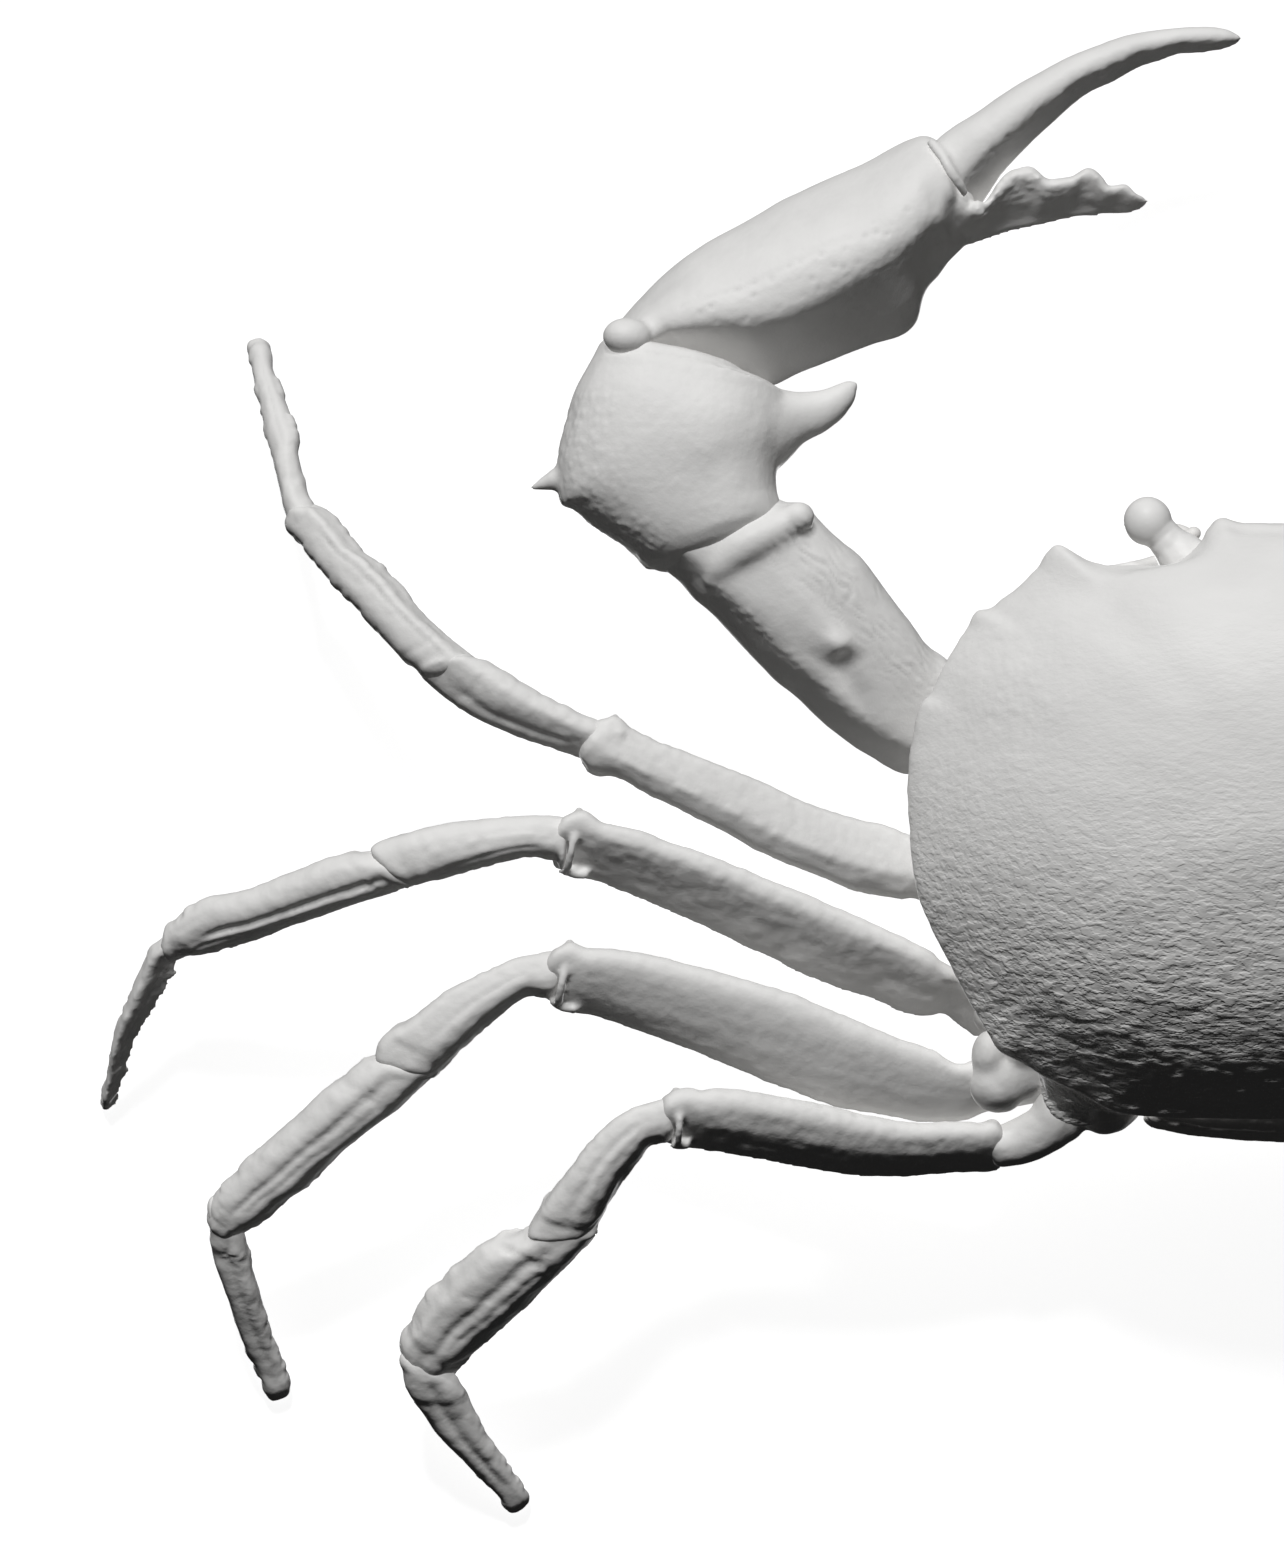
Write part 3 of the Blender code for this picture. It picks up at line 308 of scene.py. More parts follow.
# Walking leg rows, the first pair in front: (out, forward, up, half width, half height)
LEG_ROWS = {
    "leg_1": {
        "coxa": ((8.65, -4.9, 5.2, 1.35, 1.35), (10.2, -4.85, 5.6, 1.25, 1.25),
                 (11.9, -4.6, 6.0, 1.0, 0.95)),
        "merus": ((11.9, -4.6, 6.0, 1.0, 1.0), (14.9, -3.55, 6.6, 1.2, 1.1),
                  (16.8, -3.04, 6.95, 1.31, 1.15), (20.6, -1.51, 7.6, 1.17, 1.05),
                  (24.4, 0.2, 8.15, 1.0, 0.95), (26.5, 1.18, 8.3, 1.12, 1.0)),
        "carpus": ((26.5, 1.18, 8.3, 0.78, 0.8), (28.5, 1.92, 8.35, 0.88, 0.85),
                   (30.4, 2.86, 8.2, 1.0, 0.95), (32.2, 3.85, 7.8, 1.02, 0.95)),
        "propodus": ((32.2, 3.85, 7.8, 0.9, 0.85), (33.6, 5.3, 7.3, 0.91, 0.85),
                     (35.3, 7.2, 6.4, 0.91, 0.8), (37.75, 9.75, 4.9, 0.78, 0.7)),
        "dactylus": ((37.75, 9.75, 4.9, 0.56, 0.56), (38.35, 11.9, 3.75, 0.47, 0.45),
                     (38.65, 13.4, 2.6, 0.57, 0.46), (39.1, 15.0, 1.3, 0.46, 0.42),
                     (39.48, 16.2, 0.25, 0.36, 0.34)),
    },
    "leg_2": {
        "coxa": ((8.4, -7.75, 5.2, 1.25, 1.35), (10.3, -8.4, 5.5, 1.2, 1.25),
                 (12.2, -8.8, 6.0, 1.05, 0.95)),
        "merus": ((12.2, -8.8, 6.0, 1.05, 1.0), (14.2, -7.99, 6.5, 1.28, 1.1),
                  (17.0, -6.75, 7.05, 1.36, 1.15), (20.8, -5.09, 7.65, 1.32, 1.1),
                  (25.3, -3.27, 8.1, 1.18, 1.05), (27.75, -2.42, 8.2, 1.2, 1.0)),
        "carpus": ((27.75, -2.42, 8.2, 0.78, 0.8), (29.9, -2.4, 8.25, 0.83, 0.82),
                   (32.1, -2.81, 8.05, 0.99, 0.95), (34.2, -3.5, 7.6, 1.0, 0.95)),
        "propodus": ((34.2, -3.5, 7.6, 0.97, 0.85), (36.2, -4.1, 7.05, 1.03, 0.85),
                     (39.6, -5.25, 5.8, 1.02, 0.8), (42.55, -6.4, 4.4, 0.8, 0.7)),
        "dactylus": ((42.55, -6.4, 4.4, 0.58, 0.56), (43.6, -8.4, 3.4, 0.53, 0.48),
                     (44.45, -10.3, 2.2, 0.4, 0.42), (44.8, -11.5, 1.2, 0.36, 0.38),
                     (45.08, -12.5, 0.25, 0.34, 0.32)),
    },
    "leg_3": {
        "coxa": ((7.7, -10.6, 5.2, 1.05, 1.3), (9.9, -11.0, 5.7, 1.2, 1.25),
                 (12.2, -11.6, 6.4, 1.15, 1.0)),
        "merus": ((12.2, -11.6, 6.4, 1.15, 1.0), (14.4, -11.5, 6.7, 1.34, 1.1),
                  (17.7, -10.67, 7.1, 1.65, 1.2), (20.6, -9.55, 7.4, 1.66, 1.25),
                  (25.3, -8.03, 7.7, 1.4, 1.15), (28.15, -7.35, 7.75, 1.25, 1.05)),
        "carpus": ((28.15, -7.35, 7.75, 0.76, 0.8), (30.2, -8.0, 7.7, 0.84, 0.84),
                   (32.1, -9.34, 7.4, 1.08, 1.0), (33.95, -10.95, 6.9, 1.12, 1.0)),
        "propodus": ((33.95, -10.95, 6.9, 1.12, 0.9), (35.7, -12.4, 6.4, 1.19, 0.95),
                     (38.3, -14.74, 5.4, 1.19, 0.9), (40.55, -16.85, 4.2, 0.85, 0.75)),
        "dactylus": ((40.55, -16.85, 4.2, 0.68, 0.6), (40.05, -19.1, 3.0, 0.61, 0.5),
                     (39.4, -21.2, 1.65, 0.56, 0.46), (38.9, -22.4, 0.85, 0.52, 0.42),
                     (38.6, -23.25, 0.25, 0.42, 0.36)),
    },
    "leg_4": {
        "coxa": ((9.1, -10.8, 5.7, 0.8, 1.15), (9.35, -12.0, 6.1, 0.82, 1.1),
                 (9.7, -13.1, 6.05, 0.9, 1.05), (10.7, -13.7, 5.95, 0.92, 1.0),
                 (11.6, -13.95, 6.1, 0.9, 0.95)),
        "merus": ((11.6, -13.95, 6.1, 0.9, 0.95), (14.1, -14.02, 6.4, 0.94, 0.95),
                  (17.0, -13.85, 6.9, 1.12, 1.0), (20.8, -13.15, 7.6, 1.2, 1.0),
                  (23.95, -12.85, 7.9, 1.1, 0.95)),
        "carpus": ((23.95, -12.85, 7.9, 0.74, 0.78), (25.7, -13.8, 7.85, 0.92, 0.88),
                   (26.9, -15.4, 7.45, 1.05, 0.95), (28.0, -17.2, 6.7, 1.13, 0.95)),
        "propodus": ((28.0, -17.2, 6.7, 1.05, 0.85), (29.3, -18.3, 6.1, 1.36, 0.9),
                     (30.95, -19.65, 5.2, 1.55, 0.9), (33.15, -22.05, 3.6, 1.05, 0.75)),
        "dactylus": ((33.15, -22.05, 3.6, 0.95, 0.6), (32.3, -23.7, 2.9, 0.88, 0.5),
                     (31.1, -25.4, 1.85, 0.68, 0.45), (30.1, -26.7, 0.95, 0.54, 0.42),
                     (29.55, -27.5, 0.25, 0.42, 0.36)),
    },
}

# Shell materials: tone, roughness, size of the patches and of the grain, the grain's depth,
# and how far the grain is drawn out from side to side
MATERIALS = {
    "shell_of_the_back": ((0.715, 0.71, 0.70), 0.58, 3.0, 0.2, 0.022, 2.2),
    "shell_of_the_claws": ((0.715, 0.71, 0.70), 0.55, 2.4, 0.2, 0.012, 1.0),
    "shell_of_the_legs": ((0.705, 0.70, 0.69), 0.6, 1.6, 0.18, 0.012, 1.0),
    "shell_below": ((0.70, 0.69, 0.675), 0.62, 2.0, 0.16, 0.01, 1.0),
    "eye_surface": ((0.73, 0.725, 0.715), 0.46, 0.8, 0.14, 0.004, 1.0),
}
PATCH_SHADE = 0.93        # how dark the patches are
PAINTED_HOLLOW_SHADE = 0.55       # and the painted shade in the hollows, of which this share is mixed in:
PAINTED_HOLLOW_SHARE = 0.35
ROUGHNESS_SPREAD = 0.08
RUGAE_SIZE = 0.22         # millimetres between the finest folds of the back
RUGAE_DEPTH = 0.03
RUGAE_REACH = (0.002, -0.009)    # they grow from here to here, in metres forward

PHOTO_WIDTH = 1284
PHOTO_HEIGHT = 1551
LENS = 600.0
SENSOR = 36.0
FOCUS_LEVEL = 8.0         # height, in millimetres, that has the photo's scale
TO_LIGHT = (-0.12, 0.70, 0.707)
KEY_STRENGTH = 3.4
SOFTNESS = 8.0            # degrees across which a light shines
SHADOW_SHARE = 0.22       # share of the key light that throws shadows
ROOM_LIGHT = 0.015
BOUNCE_STRENGTH = 0.6
BOUNCES = ((0.25, -0.1, -0.96), (-0.25, -0.1, -0.96))
FLOOR_REACH = 20.0
FLOOR_GLOW = 0.35
FLOOR_TONES = (0.93, 0.96)

# Height of the teeth along the edges of leg pieces
EDGE_TEETH = {"merus": 0.02, "carpus": 0.03, "propodus": 0.06, "dactylus": 0.09}
# How far the ends of leg pieces dome, in shares of their half size
END_BULGES = {
    "merus": (0.5, 0.45), "carpus": (0.5, 0.5), "propodus": (0.5, 0.85), "dactylus": (1.6, 0.6),
}

# Look of each leg piece: section, crest place, crest size, grooves, roughness. A groove is
# (place across, depth, half width, start, end).
LEG_LOOKS = {
    "leg_1": {
        "merus": ((0.62, 0.72, 0.81, 0.88, 0.94, 0.99, 1.0, 0.95, 0.85, 0.68, 0.5),
                  -0.3, 0.7, (), 1.0),
        "carpus": ((0.6, 0.8, 0.95, 1.0, 0.98, 0.88, 0.72, 0.5, 0.3, 0.08, -0.1),
                   0.3, 0.5, ((-0.5, 0.06, 0.12, 0.1, 0.9),), 1.1),
        "propodus": ((0.05, 0.24, 0.62, 0.93, 1.0, 0.94, 0.87, 0.79, 0.7, 0.5, 0.25),
                     0.4, 0.6, ((0.05, 0.05, 0.12, 0.0, 0.9),), 1.0),
        "dactylus": ((0.3, 0.5, 0.76, 0.93, 1.0, 0.99, 0.94, 0.84, 0.68, 0.45, 0.25),
                     0.0, 0.2, ((0.1, 0.05, 0.2, 0.1, 0.9),), 0.8),
    },
    "leg_2": {
        "merus": ((0.85, 0.97, 1.0, 0.94, 0.8, 0.61, 0.39, 0.17, -0.05, -0.3, -0.5),
                  0.5, 0.5, (), 1.0),
        "carpus": ((0.5, 0.67, 0.83, 0.91, 0.95, 0.99, 1.0, 0.96, 0.84, 0.6, 0.35),
                   0.1, 0.4, ((-0.55, 0.05, 0.12, 0.1, 0.9),), 1.0),
        "propodus": ((0.45, 0.66, 0.88, 0.97, 1.0, 0.95, 0.86, 0.76, 0.58, 0.02, -0.45),
                     0.7, 0.3, ((-0.17, 0.16, 0.11, 0.0, 0.85), (-0.5, 0.1, 0.09, 0.15, 0.95)), 0.9),
        "dactylus": ((-0.75, -0.6, -0.25, 0.2, 0.68, 0.94, 1.0, 0.93, 0.74, 0.42, 0.15),
                     -0.2, 0.5, ((0.5, 0.1, 0.16, 0.05, 0.85),), 0.9),
    },
    "leg_3": {
        "merus": ((0.84, 0.96, 1.0, 0.95, 0.86, 0.73, 0.58, 0.42, 0.2, -0.05, -0.28),
                  -0.5, 0.4, (), 0.9),
        "carpus": ((0.6, 0.76, 0.84, 0.9, 0.96, 1.0, 0.99, 0.94, 0.8, 0.3, -0.2),
                   -0.2, 0.4, ((0.1, 0.03, 0.12, 0.1, 0.9),), 0.9),
        "propodus": ((0.38, 0.6, 0.85, 0.97, 1.0, 0.97, 0.97, 0.94, 0.8, 0.25, -0.3),
                     0.7, 0.3, ((0.05, 0.07, 0.1, 0.05, 0.95), (-0.25, 0.04, 0.08, 0.1, 0.9)), 0.9),
        "dactylus": ((0.45, 0.68, 0.9, 0.98, 1.0, 1.0, 1.0, 0.98, 0.9, 0.66, 0.4),
                     0.6, 0.4, ((0.15, 0.05, 0.14, 0.0, 0.8),), 0.9),
    },
    "leg_4": {
        "merus": ((0.72, 0.9, 1.0, 0.99, 0.91, 0.77, 0.58, 0.34, 0.05, -0.25, -0.5),
                  -0.3, 0.5, ((0.1, 0.03, 0.2, 0.05, 0.9),), 1.3),
        "carpus": ((0.72, 0.86, 0.95, 0.99, 1.0, 0.99, 0.95, 0.87, 0.7, 0.25, -0.2),
                   -0.1, 0.5, ((0.2, 0.04, 0.14, 0.1, 0.9),), 1.2),
        "propodus": ((0.3, 0.5, 0.86, 0.98, 1.0, 0.97, 0.96, 0.92, 0.72, 0.1, -0.4),
                     0.6, 0.4, ((-0.02, 0.08, 0.1, 0.05, 0.9), (-0.32, 0.05, 0.08, 0.1, 0.85)), 1.0),
        "dactylus": ((0.5, 0.72, 0.92, 1.0, 1.0, 0.97, 1.0, 0.98, 0.9, 0.66, 0.4),
                     0.4, 0.3, ((0.0, 0.06, 0.14, 0.0, 0.8),), 1.0),
    },
}

# Outlines of leg pieces in the photo: upper edge, lower edge and middle, body to tip
LEG_OUTLINES = {
    "leg_1": {
        "merus": (
            ((985, 868), (908, 835), (880, 824), (860, 820), (830, 811), (800, 800), (770, 786), (740, 773),
             (700, 757), (660, 742), (635, 730), (630, 727), (620, 718), (612, 715.5), (605, 718)),
            ((990, 927), (918, 900), (900, 899), (880, 896), (850, 889), (820, 877), (790, 865), (760, 852),
             (740, 841), (700, 820), (660, 800), (640, 790), (620, 779), (600, 774), (590, 771), (583, 762)),
            ((987, 897), (915, 868), (800, 830), (700, 788), (605, 745)),
        ),
        "carpus": (
            ((600, 721), (585, 715), (565, 705), (540, 693), (510, 675), (490, 663), (480, 661)),
            ((585, 760), (550, 748), (525, 740), (500, 729), (480, 720), (460, 708), (440, 693), (421, 675)),
            ((595, 740), (540, 716), (455, 680)),
        ),
        "propodus": (
            ((480, 661), (465, 648), (450, 636), (430, 618), (415, 602), (403, 586), (392, 575), (380, 561),
             (360, 547), (345, 528), (335, 515), (325, 507), (312, 502)),
            ((421, 675), (415, 668), (400, 656), (385, 640), (365, 618), (345, 597), (325, 577), (310, 557),
             (297, 541), (290, 535)),
            ((448, 662), (380, 598), (305, 520)),
        ),
        "dactylus": (
            ((312, 502), (306, 493), (301, 480), (296, 460), (294, 445), (296, 438), (296, 430), (291, 417),
             (285, 400), (278, 382), (272, 368), (270, 355), (268, 342)),
            ((290, 535), (286, 520), (281, 500), (276, 480), (271, 460), (265, 440), (260, 420), (256, 400),
             (250, 380), (247, 360), (243, 345), (243, 340)),
            ((300, 512), (275, 440), (256, 340)),
        ),
    },
    "leg_2": {
        "merus": (
            ((985, 984), (940, 962), (930, 952), (915, 944), (890, 932), (860, 918), (830, 905), (800, 891),
             (770, 880), (740, 867), (700, 852), (670, 842), (640, 831), (605, 823), (600, 821), (592, 814),
             (583, 810), (575, 811), (567, 815)),
            ((978, 1038), (950, 1015), (930, 1018), (905, 1013), (880, 1001), (860, 995), (830, 985),
             (800, 973), (780, 962), (750, 949), (720, 934), (680, 916), (640, 899), (600, 883), (580, 878),
             (560, 870)),
            ((981, 1010), (930, 988), (840, 950), (700, 886), (570, 842)),
        ),
        "carpus": (
            ((565, 817), (550, 815), (530, 815), (500, 817), (470, 820), (440, 824), (410, 832), (385, 839),
             (373, 845)),
            ((560, 869), (558, 861), (545, 860), (535, 857), (520, 858), (500, 863), (480, 868), (450, 877),
             (425, 883), (418, 885)),
            ((565, 840), (500, 840), (395, 866)),
        ),
        "propodus": (
            ((371, 853), (350, 853), (325, 859), (300, 869), (275, 878), (250, 889), (230, 894), (210, 897),
             (190, 905), (175, 918), (165, 925), (162, 937)),
            ((418, 885), (400, 893), (385, 899), (365, 905), (340, 913), (310, 924), (290, 930), (265, 940),
             (240, 948), (215, 955), (200, 958), (180, 960)),
            ((395, 868), (290, 900), (175, 940)),
        ),
        "dactylus": (
            ((180, 960), (173, 963), (168, 975), (158, 997), (148, 1015), (138, 1030), (130, 1045),
             (125, 1060), (121, 1072), (122, 1078), (116, 1090), (114, 1100), (112, 1110)),
            ((162, 937), (155, 942), (148, 948), (143, 958), (139, 967), (133, 980), (126, 997),
             (119, 1013), (112, 1030), (108, 1045), (105, 1065), (101, 1080), (99, 1090), (95, 1105)),
            ((168, 950), (135, 1012), (105, 1108)),
        ),
    },
    "leg_3": {
        "merus": (
            ((973, 1060), (960, 1065), (945, 1060), (925, 1048), (900, 1040), (860, 1023), (830, 1010),
             (800, 997), (780, 990), (740, 978), (700, 967), (660, 957), (625, 950), (590, 948), (587, 948),
             (580, 945), (573, 941.5), (567, 942), (558, 947)),
            ((1000, 1109), (985, 1113), (970, 1120), (950, 1122.5), (920, 1122), (895, 1117), (870, 1113),
             (840, 1108), (815, 1100), (790, 1090), (765, 1081), (740, 1070), (715, 1060), (680, 1046),
             (640, 1032), (600, 1018), (578, 1014), (565, 1010), (550, 1001)),
            ((975, 1092), (880, 1072), (740, 1024), (560, 974)),
        ),
        "carpus": (
            ((555, 950), (540, 953), (515, 958), (495, 967), (470, 978), (450, 988), (430, 1003),
             (408, 1020), (390, 1030), (378, 1043), (375, 1055)),
            ((550, 1000), (532, 997), (520, 1001), (500, 1016), (480, 1035), (460, 1055), (445, 1070)),
            ((555, 974), (480, 1003), (405, 1062)),
        ),
        "propodus": (
            ((365, 1060), (352, 1068), (340, 1080), (320, 1093), (300, 1113), (280, 1130), (262, 1145),
             (245, 1160), (230, 1177), (218, 1188), (209, 1200), (207, 1210)),
            ((445, 1070), (435, 1078), (420, 1092), (400, 1112), (380, 1127), (360, 1142), (340, 1158),
             (320, 1178), (305, 1193), (285, 1205), (270, 1220), (255, 1230), (240, 1238)),
            ((400, 1070), (315, 1146), (224, 1218)),
        ),
        "dactylus": (
            ((240, 1238), (244, 1250), (248, 1266), (251, 1280), (256, 1295), (260, 1310), (264, 1320),
             (268, 1335), (273, 1348), (280, 1360), (283, 1370), (287, 1380), (288, 1393)),
            ((207, 1210), (208, 1225), (210, 1250), (215, 1270), (220, 1285), (226, 1300), (231, 1320),
             (238, 1340), (243, 1355), (250, 1370), (256, 1383), (260, 1395), (265, 1403)),
            ((225, 1228), (240, 1310), (275, 1400)),
        ),
    },
    "leg_4": {
        "merus": (
            ((990, 1119), (980, 1123), (950, 1122), (920, 1123), (890, 1120), (860, 1114), (830, 1106),
             (800, 1100), (770, 1095), (745, 1090), (720, 1088), (700, 1090), (692, 1088), (680, 1088),
             (668, 1093)),
            ((1000, 1172), (985, 1174), (955, 1174), (930, 1176), (900, 1178), (860, 1177), (830, 1173),
             (800, 1168), (760, 1160), (720, 1153), (690, 1149), (672, 1145)),
            ((985, 1148), (880, 1147), (760, 1124), (675, 1118)),
        ),
        "carpus": (
            ((663, 1099), (655, 1101), (635, 1107), (615, 1118), (595, 1137), (580, 1152), (573, 1163),
             (560, 1180), (545, 1200), (535, 1215), (527, 1230)),
            ((668, 1143), (655, 1145), (648, 1148), (640, 1160), (625, 1180), (615, 1200), (605, 1218),
             (600, 1228)),
            ((668, 1121), (605, 1165), (562, 1230)),
        ),
        "propodus": (
            ((527, 1230), (515, 1237), (500, 1241), (480, 1247), (462, 1262), (445, 1275), (440, 1283),
             (428, 1292), (415, 1308), (410, 1323), (400, 1333), (398, 1345)),
            ((600, 1228), (595, 1243), (580, 1260), (560, 1280), (540, 1300), (520, 1320), (500, 1337),
             (490, 1345), (475, 1360), (462, 1370), (454, 1380)),
            ((565, 1232), (490, 1300), (425, 1360)),
        ),
        "dactylus": (
            ((454, 1380), (457, 1382), (462, 1390), (468, 1400), (473, 1413), (477, 1420), (482, 1430),
             (487, 1440), (495, 1450), (503, 1462), (512, 1475), (520, 1487), (529, 1500)),
            ((401, 1370), (403, 1385), (410, 1400), (420, 1415), (430, 1430), (445, 1448), (460, 1463),
             (475, 1480), (490, 1495), (500, 1508), (507, 1518)),
            ((428, 1376), (460, 1435), (520, 1512)),
        ),
    },
}


# Curves

def catmull(a, b, c, d, t):
    """Catmull-Rom value between b and c."""
    return 0.5 * (2 * b + (c - a) * t + (2 * a - 5 * b + 4 * c - d) * t ** 2
                  + (3 * b - a - 3 * c + d) * t ** 3)


def spline(rows, count, closed=False, measure=3):
    """`count` rows evenly spaced on a smooth curve. The first `measure` columns set its length."""
    rows = np.asarray(rows, float)
    if closed:
        padded = np.vstack([rows[-1:], rows, rows[:2]])
    else:
        padded = np.vstack([2 * rows[0] - rows[1], rows, 2 * rows[-1] - rows[-2]])
    t = np.linspace(0, 1, 12, endpoint=False)[:, None]
    spans = [catmull(*padded[i:i + 4], t) for i in range(len(padded) - 3)]
    fine = np.vstack(spans + [padded[-2:-1]])
    steps = np.linalg.norm(np.diff(fine[:, :measure], axis=0), axis=1)
    at = np.concatenate([[0.0], np.cumsum(steps)])
    want = np.linspace(0, at[-1], count, endpoint=not closed)
    return np.column_stack([np.interp(want, at, column) for column in fine.T])


def traced(points):
    """Points of the photo as (out from the midline, forward) in millimetres."""
    points = np.asarray(points, float)
    return np.column_stack([(MIDLINE - points[:, 0]) * PIXEL, (LEVEL - points[:, 1]) * PIXEL])


def nearest(points, line):
    """For each point, the place of the nearest corner of a line."""
    gaps = ((points[:, None, :] - line[None, :, :]) ** 2).sum(axis=2)
    return gaps.argmin(axis=1)


def unit(vectors):
    return vectors / np.maximum(np.linalg.norm(vectors, axis=-1, keepdims=True), 1e-12)


def lengthened(line, reach):
    """A line carried straight on past both of its ends."""
    first = line[0] + unit(line[0] - line[3]) * reach
    last = line[-1] + unit(line[-1] - line[-4]) * reach
    return np.vstack([first, line, last])


def bump(value, centre, width):
    """A smooth hill, 1 at its centre."""
    return np.exp(-((value - centre) / width) ** 2)


def ramp(value, low, high):
    """0 below `low`, 1 above `high` and smooth between."""
    t = np.clip((value - low) / (high - low), 0, 1)
    return t * t * (3 - 2 * t)


# Noise, the same in each run

def lattice(cells, seed):
    """A number from 0 to 1 for each whole-numbered cell."""
    keys = cells.astype(np.int64)
    mix = keys[..., 0] * 374761393 + keys[..., 1] * 668265263 + keys[..., 2] * 2147483629
    mix = (mix + seed * 1442695041) & 0xFFFFFFFF
    for shift, factor in ((13, 1274126177), (15, 2246822519)):
        mix = ((mix ^ (mix >> shift)) * factor) & 0xFFFFFFFF
    return ((mix ^ (mix >> 16)) & 0xFFFFFF) / float(0xFFFFFF)


def noise(points, size, seed):
    """Smooth noise from -1 to 1 whose bumps are about `size` apart."""
    place = points / size
    cell = np.floor(place)
    part = place - cell
    part = part * part * (3 - 2 * part)
    total = np.zeros(len(points))
    for corner in np.ndindex(2, 2, 2):
        step = np.array(corner)
        weight = np.prod(np.where(step, part, 1 - part), axis=1)
        total += weight * lattice(cell + step, seed)
    return total * 2 - 1


def grains(points, size, seed):
    """Round grains: 1 in the middle of a grain and 0 between grains."""
    place = points / size
    cell = np.floor(place)
    closest = np.full(len(points), 9.0)
    for step in np.ndindex(3, 3, 3):
        near = cell + np.array(step) - 1
        middle = near + 0.5 + 0.7 * (np.stack([lattice(near, seed + k) for k in range(3)], 1) - 0.5)
        closest = np.minimum(closest, ((place - middle) ** 2).sum(axis=1))
    return np.clip(1 - np.sqrt(closest) / 0.62, 0, 1)


def wrinkles(points, way, length, apart, seed):
    """Noise drawn out along `way`, with ridges `apart` from each other."""
    way = unit(np.asarray(way, float))
    along = points @ way
    place = points / apart + np.outer(along * (1 / length - 1 / apart), way)
    return noise(place, 1.0, seed)


# Closed surfaces, as (points, faces)

def shell(rings):
    """The closed surface through rings that have the same number of corners."""
    count, corners = rings.shape[:2]
    points = np.vstack([rings.reshape(-1, 3), rings[0].mean(axis=0), rings[-1].mean(axis=0)])
    faces = []
    for k in range(count - 1):
        for i in range(corners):
            j = (i + 1) % corners
            faces.append((k * corners + i, k * corners + j,
                          (k + 1) * corners + j, (k + 1) * corners + i))
    first, last = count * corners, count * corners + 1
    for i in range(corners):
        j = (i + 1) % corners
        faces.append((first, j, i))
        faces.append((last, (count - 1) * corners + i, (count - 1) * corners + j))
    return points, faces


def circle(corners):
    angle = np.linspace(0, 2 * math.pi, corners, endpoint=False)
    return np.cos(angle), np.sin(angle)


def dome(middle, along, corners, sides, size, reach):
    """Rings that close an end in a dome, from its last ring on."""
    flat = np.outer(corners[0], sides[0]) + np.outer(corners[1], sides[1])
    rings = []
    for k in range(1, CAP_RINGS):
        angle = k * math.pi / 2 / CAP_RINGS
        base = middle + along * reach * math.sin(angle)
        rings.append(base + size * math.cos(angle) * flat)
    return rings


def tube(rows, corners=20, count=40):
    """A round tube with domed ends through rows of (out, forward, up, radius)."""
    rows = spline(rows, count)
    middle = rows[:, :3]
    along = unit(np.gradient(middle, axis=0))
    mean = unit(along.mean(axis=0))
    level = UP if abs(mean[2]) < 0.8 else np.array([0.0, 1.0, 0.0])
    across = unit(np.cross(along, level))
    lift = np.cross(across, along)
    u, v = circle(corners)
    rings = [m + r * (np.outer(u, a) + np.outer(v, b))
             for m, r, a, b in zip(middle, rows[:, 3], across, lift)]
    near, far = (dome(middle[end], way * along[end], (u, v), (across[end], lift[end]),
                      rows[end, 3], rows[end, 3]) for end, way in ((0, -1), (-1, 1)))
    return shell(np.array(near[::-1] + rings + far))


def ball(centre, radii, turn=0.0, corners=28, rows=18):
    """An egg shape. `turn` swings its first radius in the level plane, in degrees."""
    u, v = circle(corners)
    tilt = np.linspace(-math.pi / 2, math.pi / 2, rows + 2)[1:-1]
    rings = np.array([np.column_stack([math.cos(t) * u * radii[0], math.cos(t) * v * radii[1],
                                       np.full(corners, math.sin(t) * radii[2])]) for t in tilt])
    c, s = math.cos(math.radians(turn)), math.sin(math.radians(turn))
    spin = np.array([[c, s, 0], [-s, c, 0], [0, 0, 1]])
    return shell(rings @ spin + np.asarray(centre, float))


def fused(shells, voxel):
    """One surface of even quads round closed surfaces that overlap."""
    points = []
    faces = []
    for some_points, some_faces in shells:
        shift = sum(len(p) for p in points)
        points.append(some_points)
        faces += [tuple(i + shift for i in face) for face in some_faces]
    mesh = bpy.data.meshes.new("work")
    mesh.from_pydata(np.vstack(points).tolist(), [], faces)
    obj = bpy.data.objects.new("work", mesh)
    bpy.context.scene.collection.objects.link(obj)
    remesh = obj.modifiers.new("fuse", "REMESH")
    remesh.mode = "VOXEL"
    remesh.voxel_size = voxel
    result = bpy.data.meshes.new_from_object(
        obj.evaluated_get(bpy.context.evaluated_depsgraph_get()))
    quads = np.empty(len(result.polygons) * 4, np.int64)
    result.polygons.foreach_get("vertices", quads)
    place = np.empty(len(result.vertices) * 3)
    result.vertices.foreach_get("co", place)
    bpy.data.objects.remove(obj)
    bpy.data.meshes.remove(mesh)
    bpy.data.meshes.remove(result)
    return place.reshape(-1, 3), quads.reshape(-1, 4)


def relaxed(points, quads, rounds, share=0.5):
    """Points drawn towards the mean of their neighbours."""
    pairs = np.vstack([quads[:, [i, (i + 1) % 4]] for i in range(4)])
    start = np.concatenate([pairs[:, 0], pairs[:, 1]])
    end = np.concatenate([pairs[:, 1], pairs[:, 0]])
    number = np.maximum(np.bincount(start, minlength=len(points)), 1)[:, None]
    for _ in range(rounds):
        mean = np.column_stack([np.bincount(start, weights=points[end, k], minlength=len(points))
                                for k in range(points.shape[1])]) / number
        points = points + (mean - points) * share
    return points


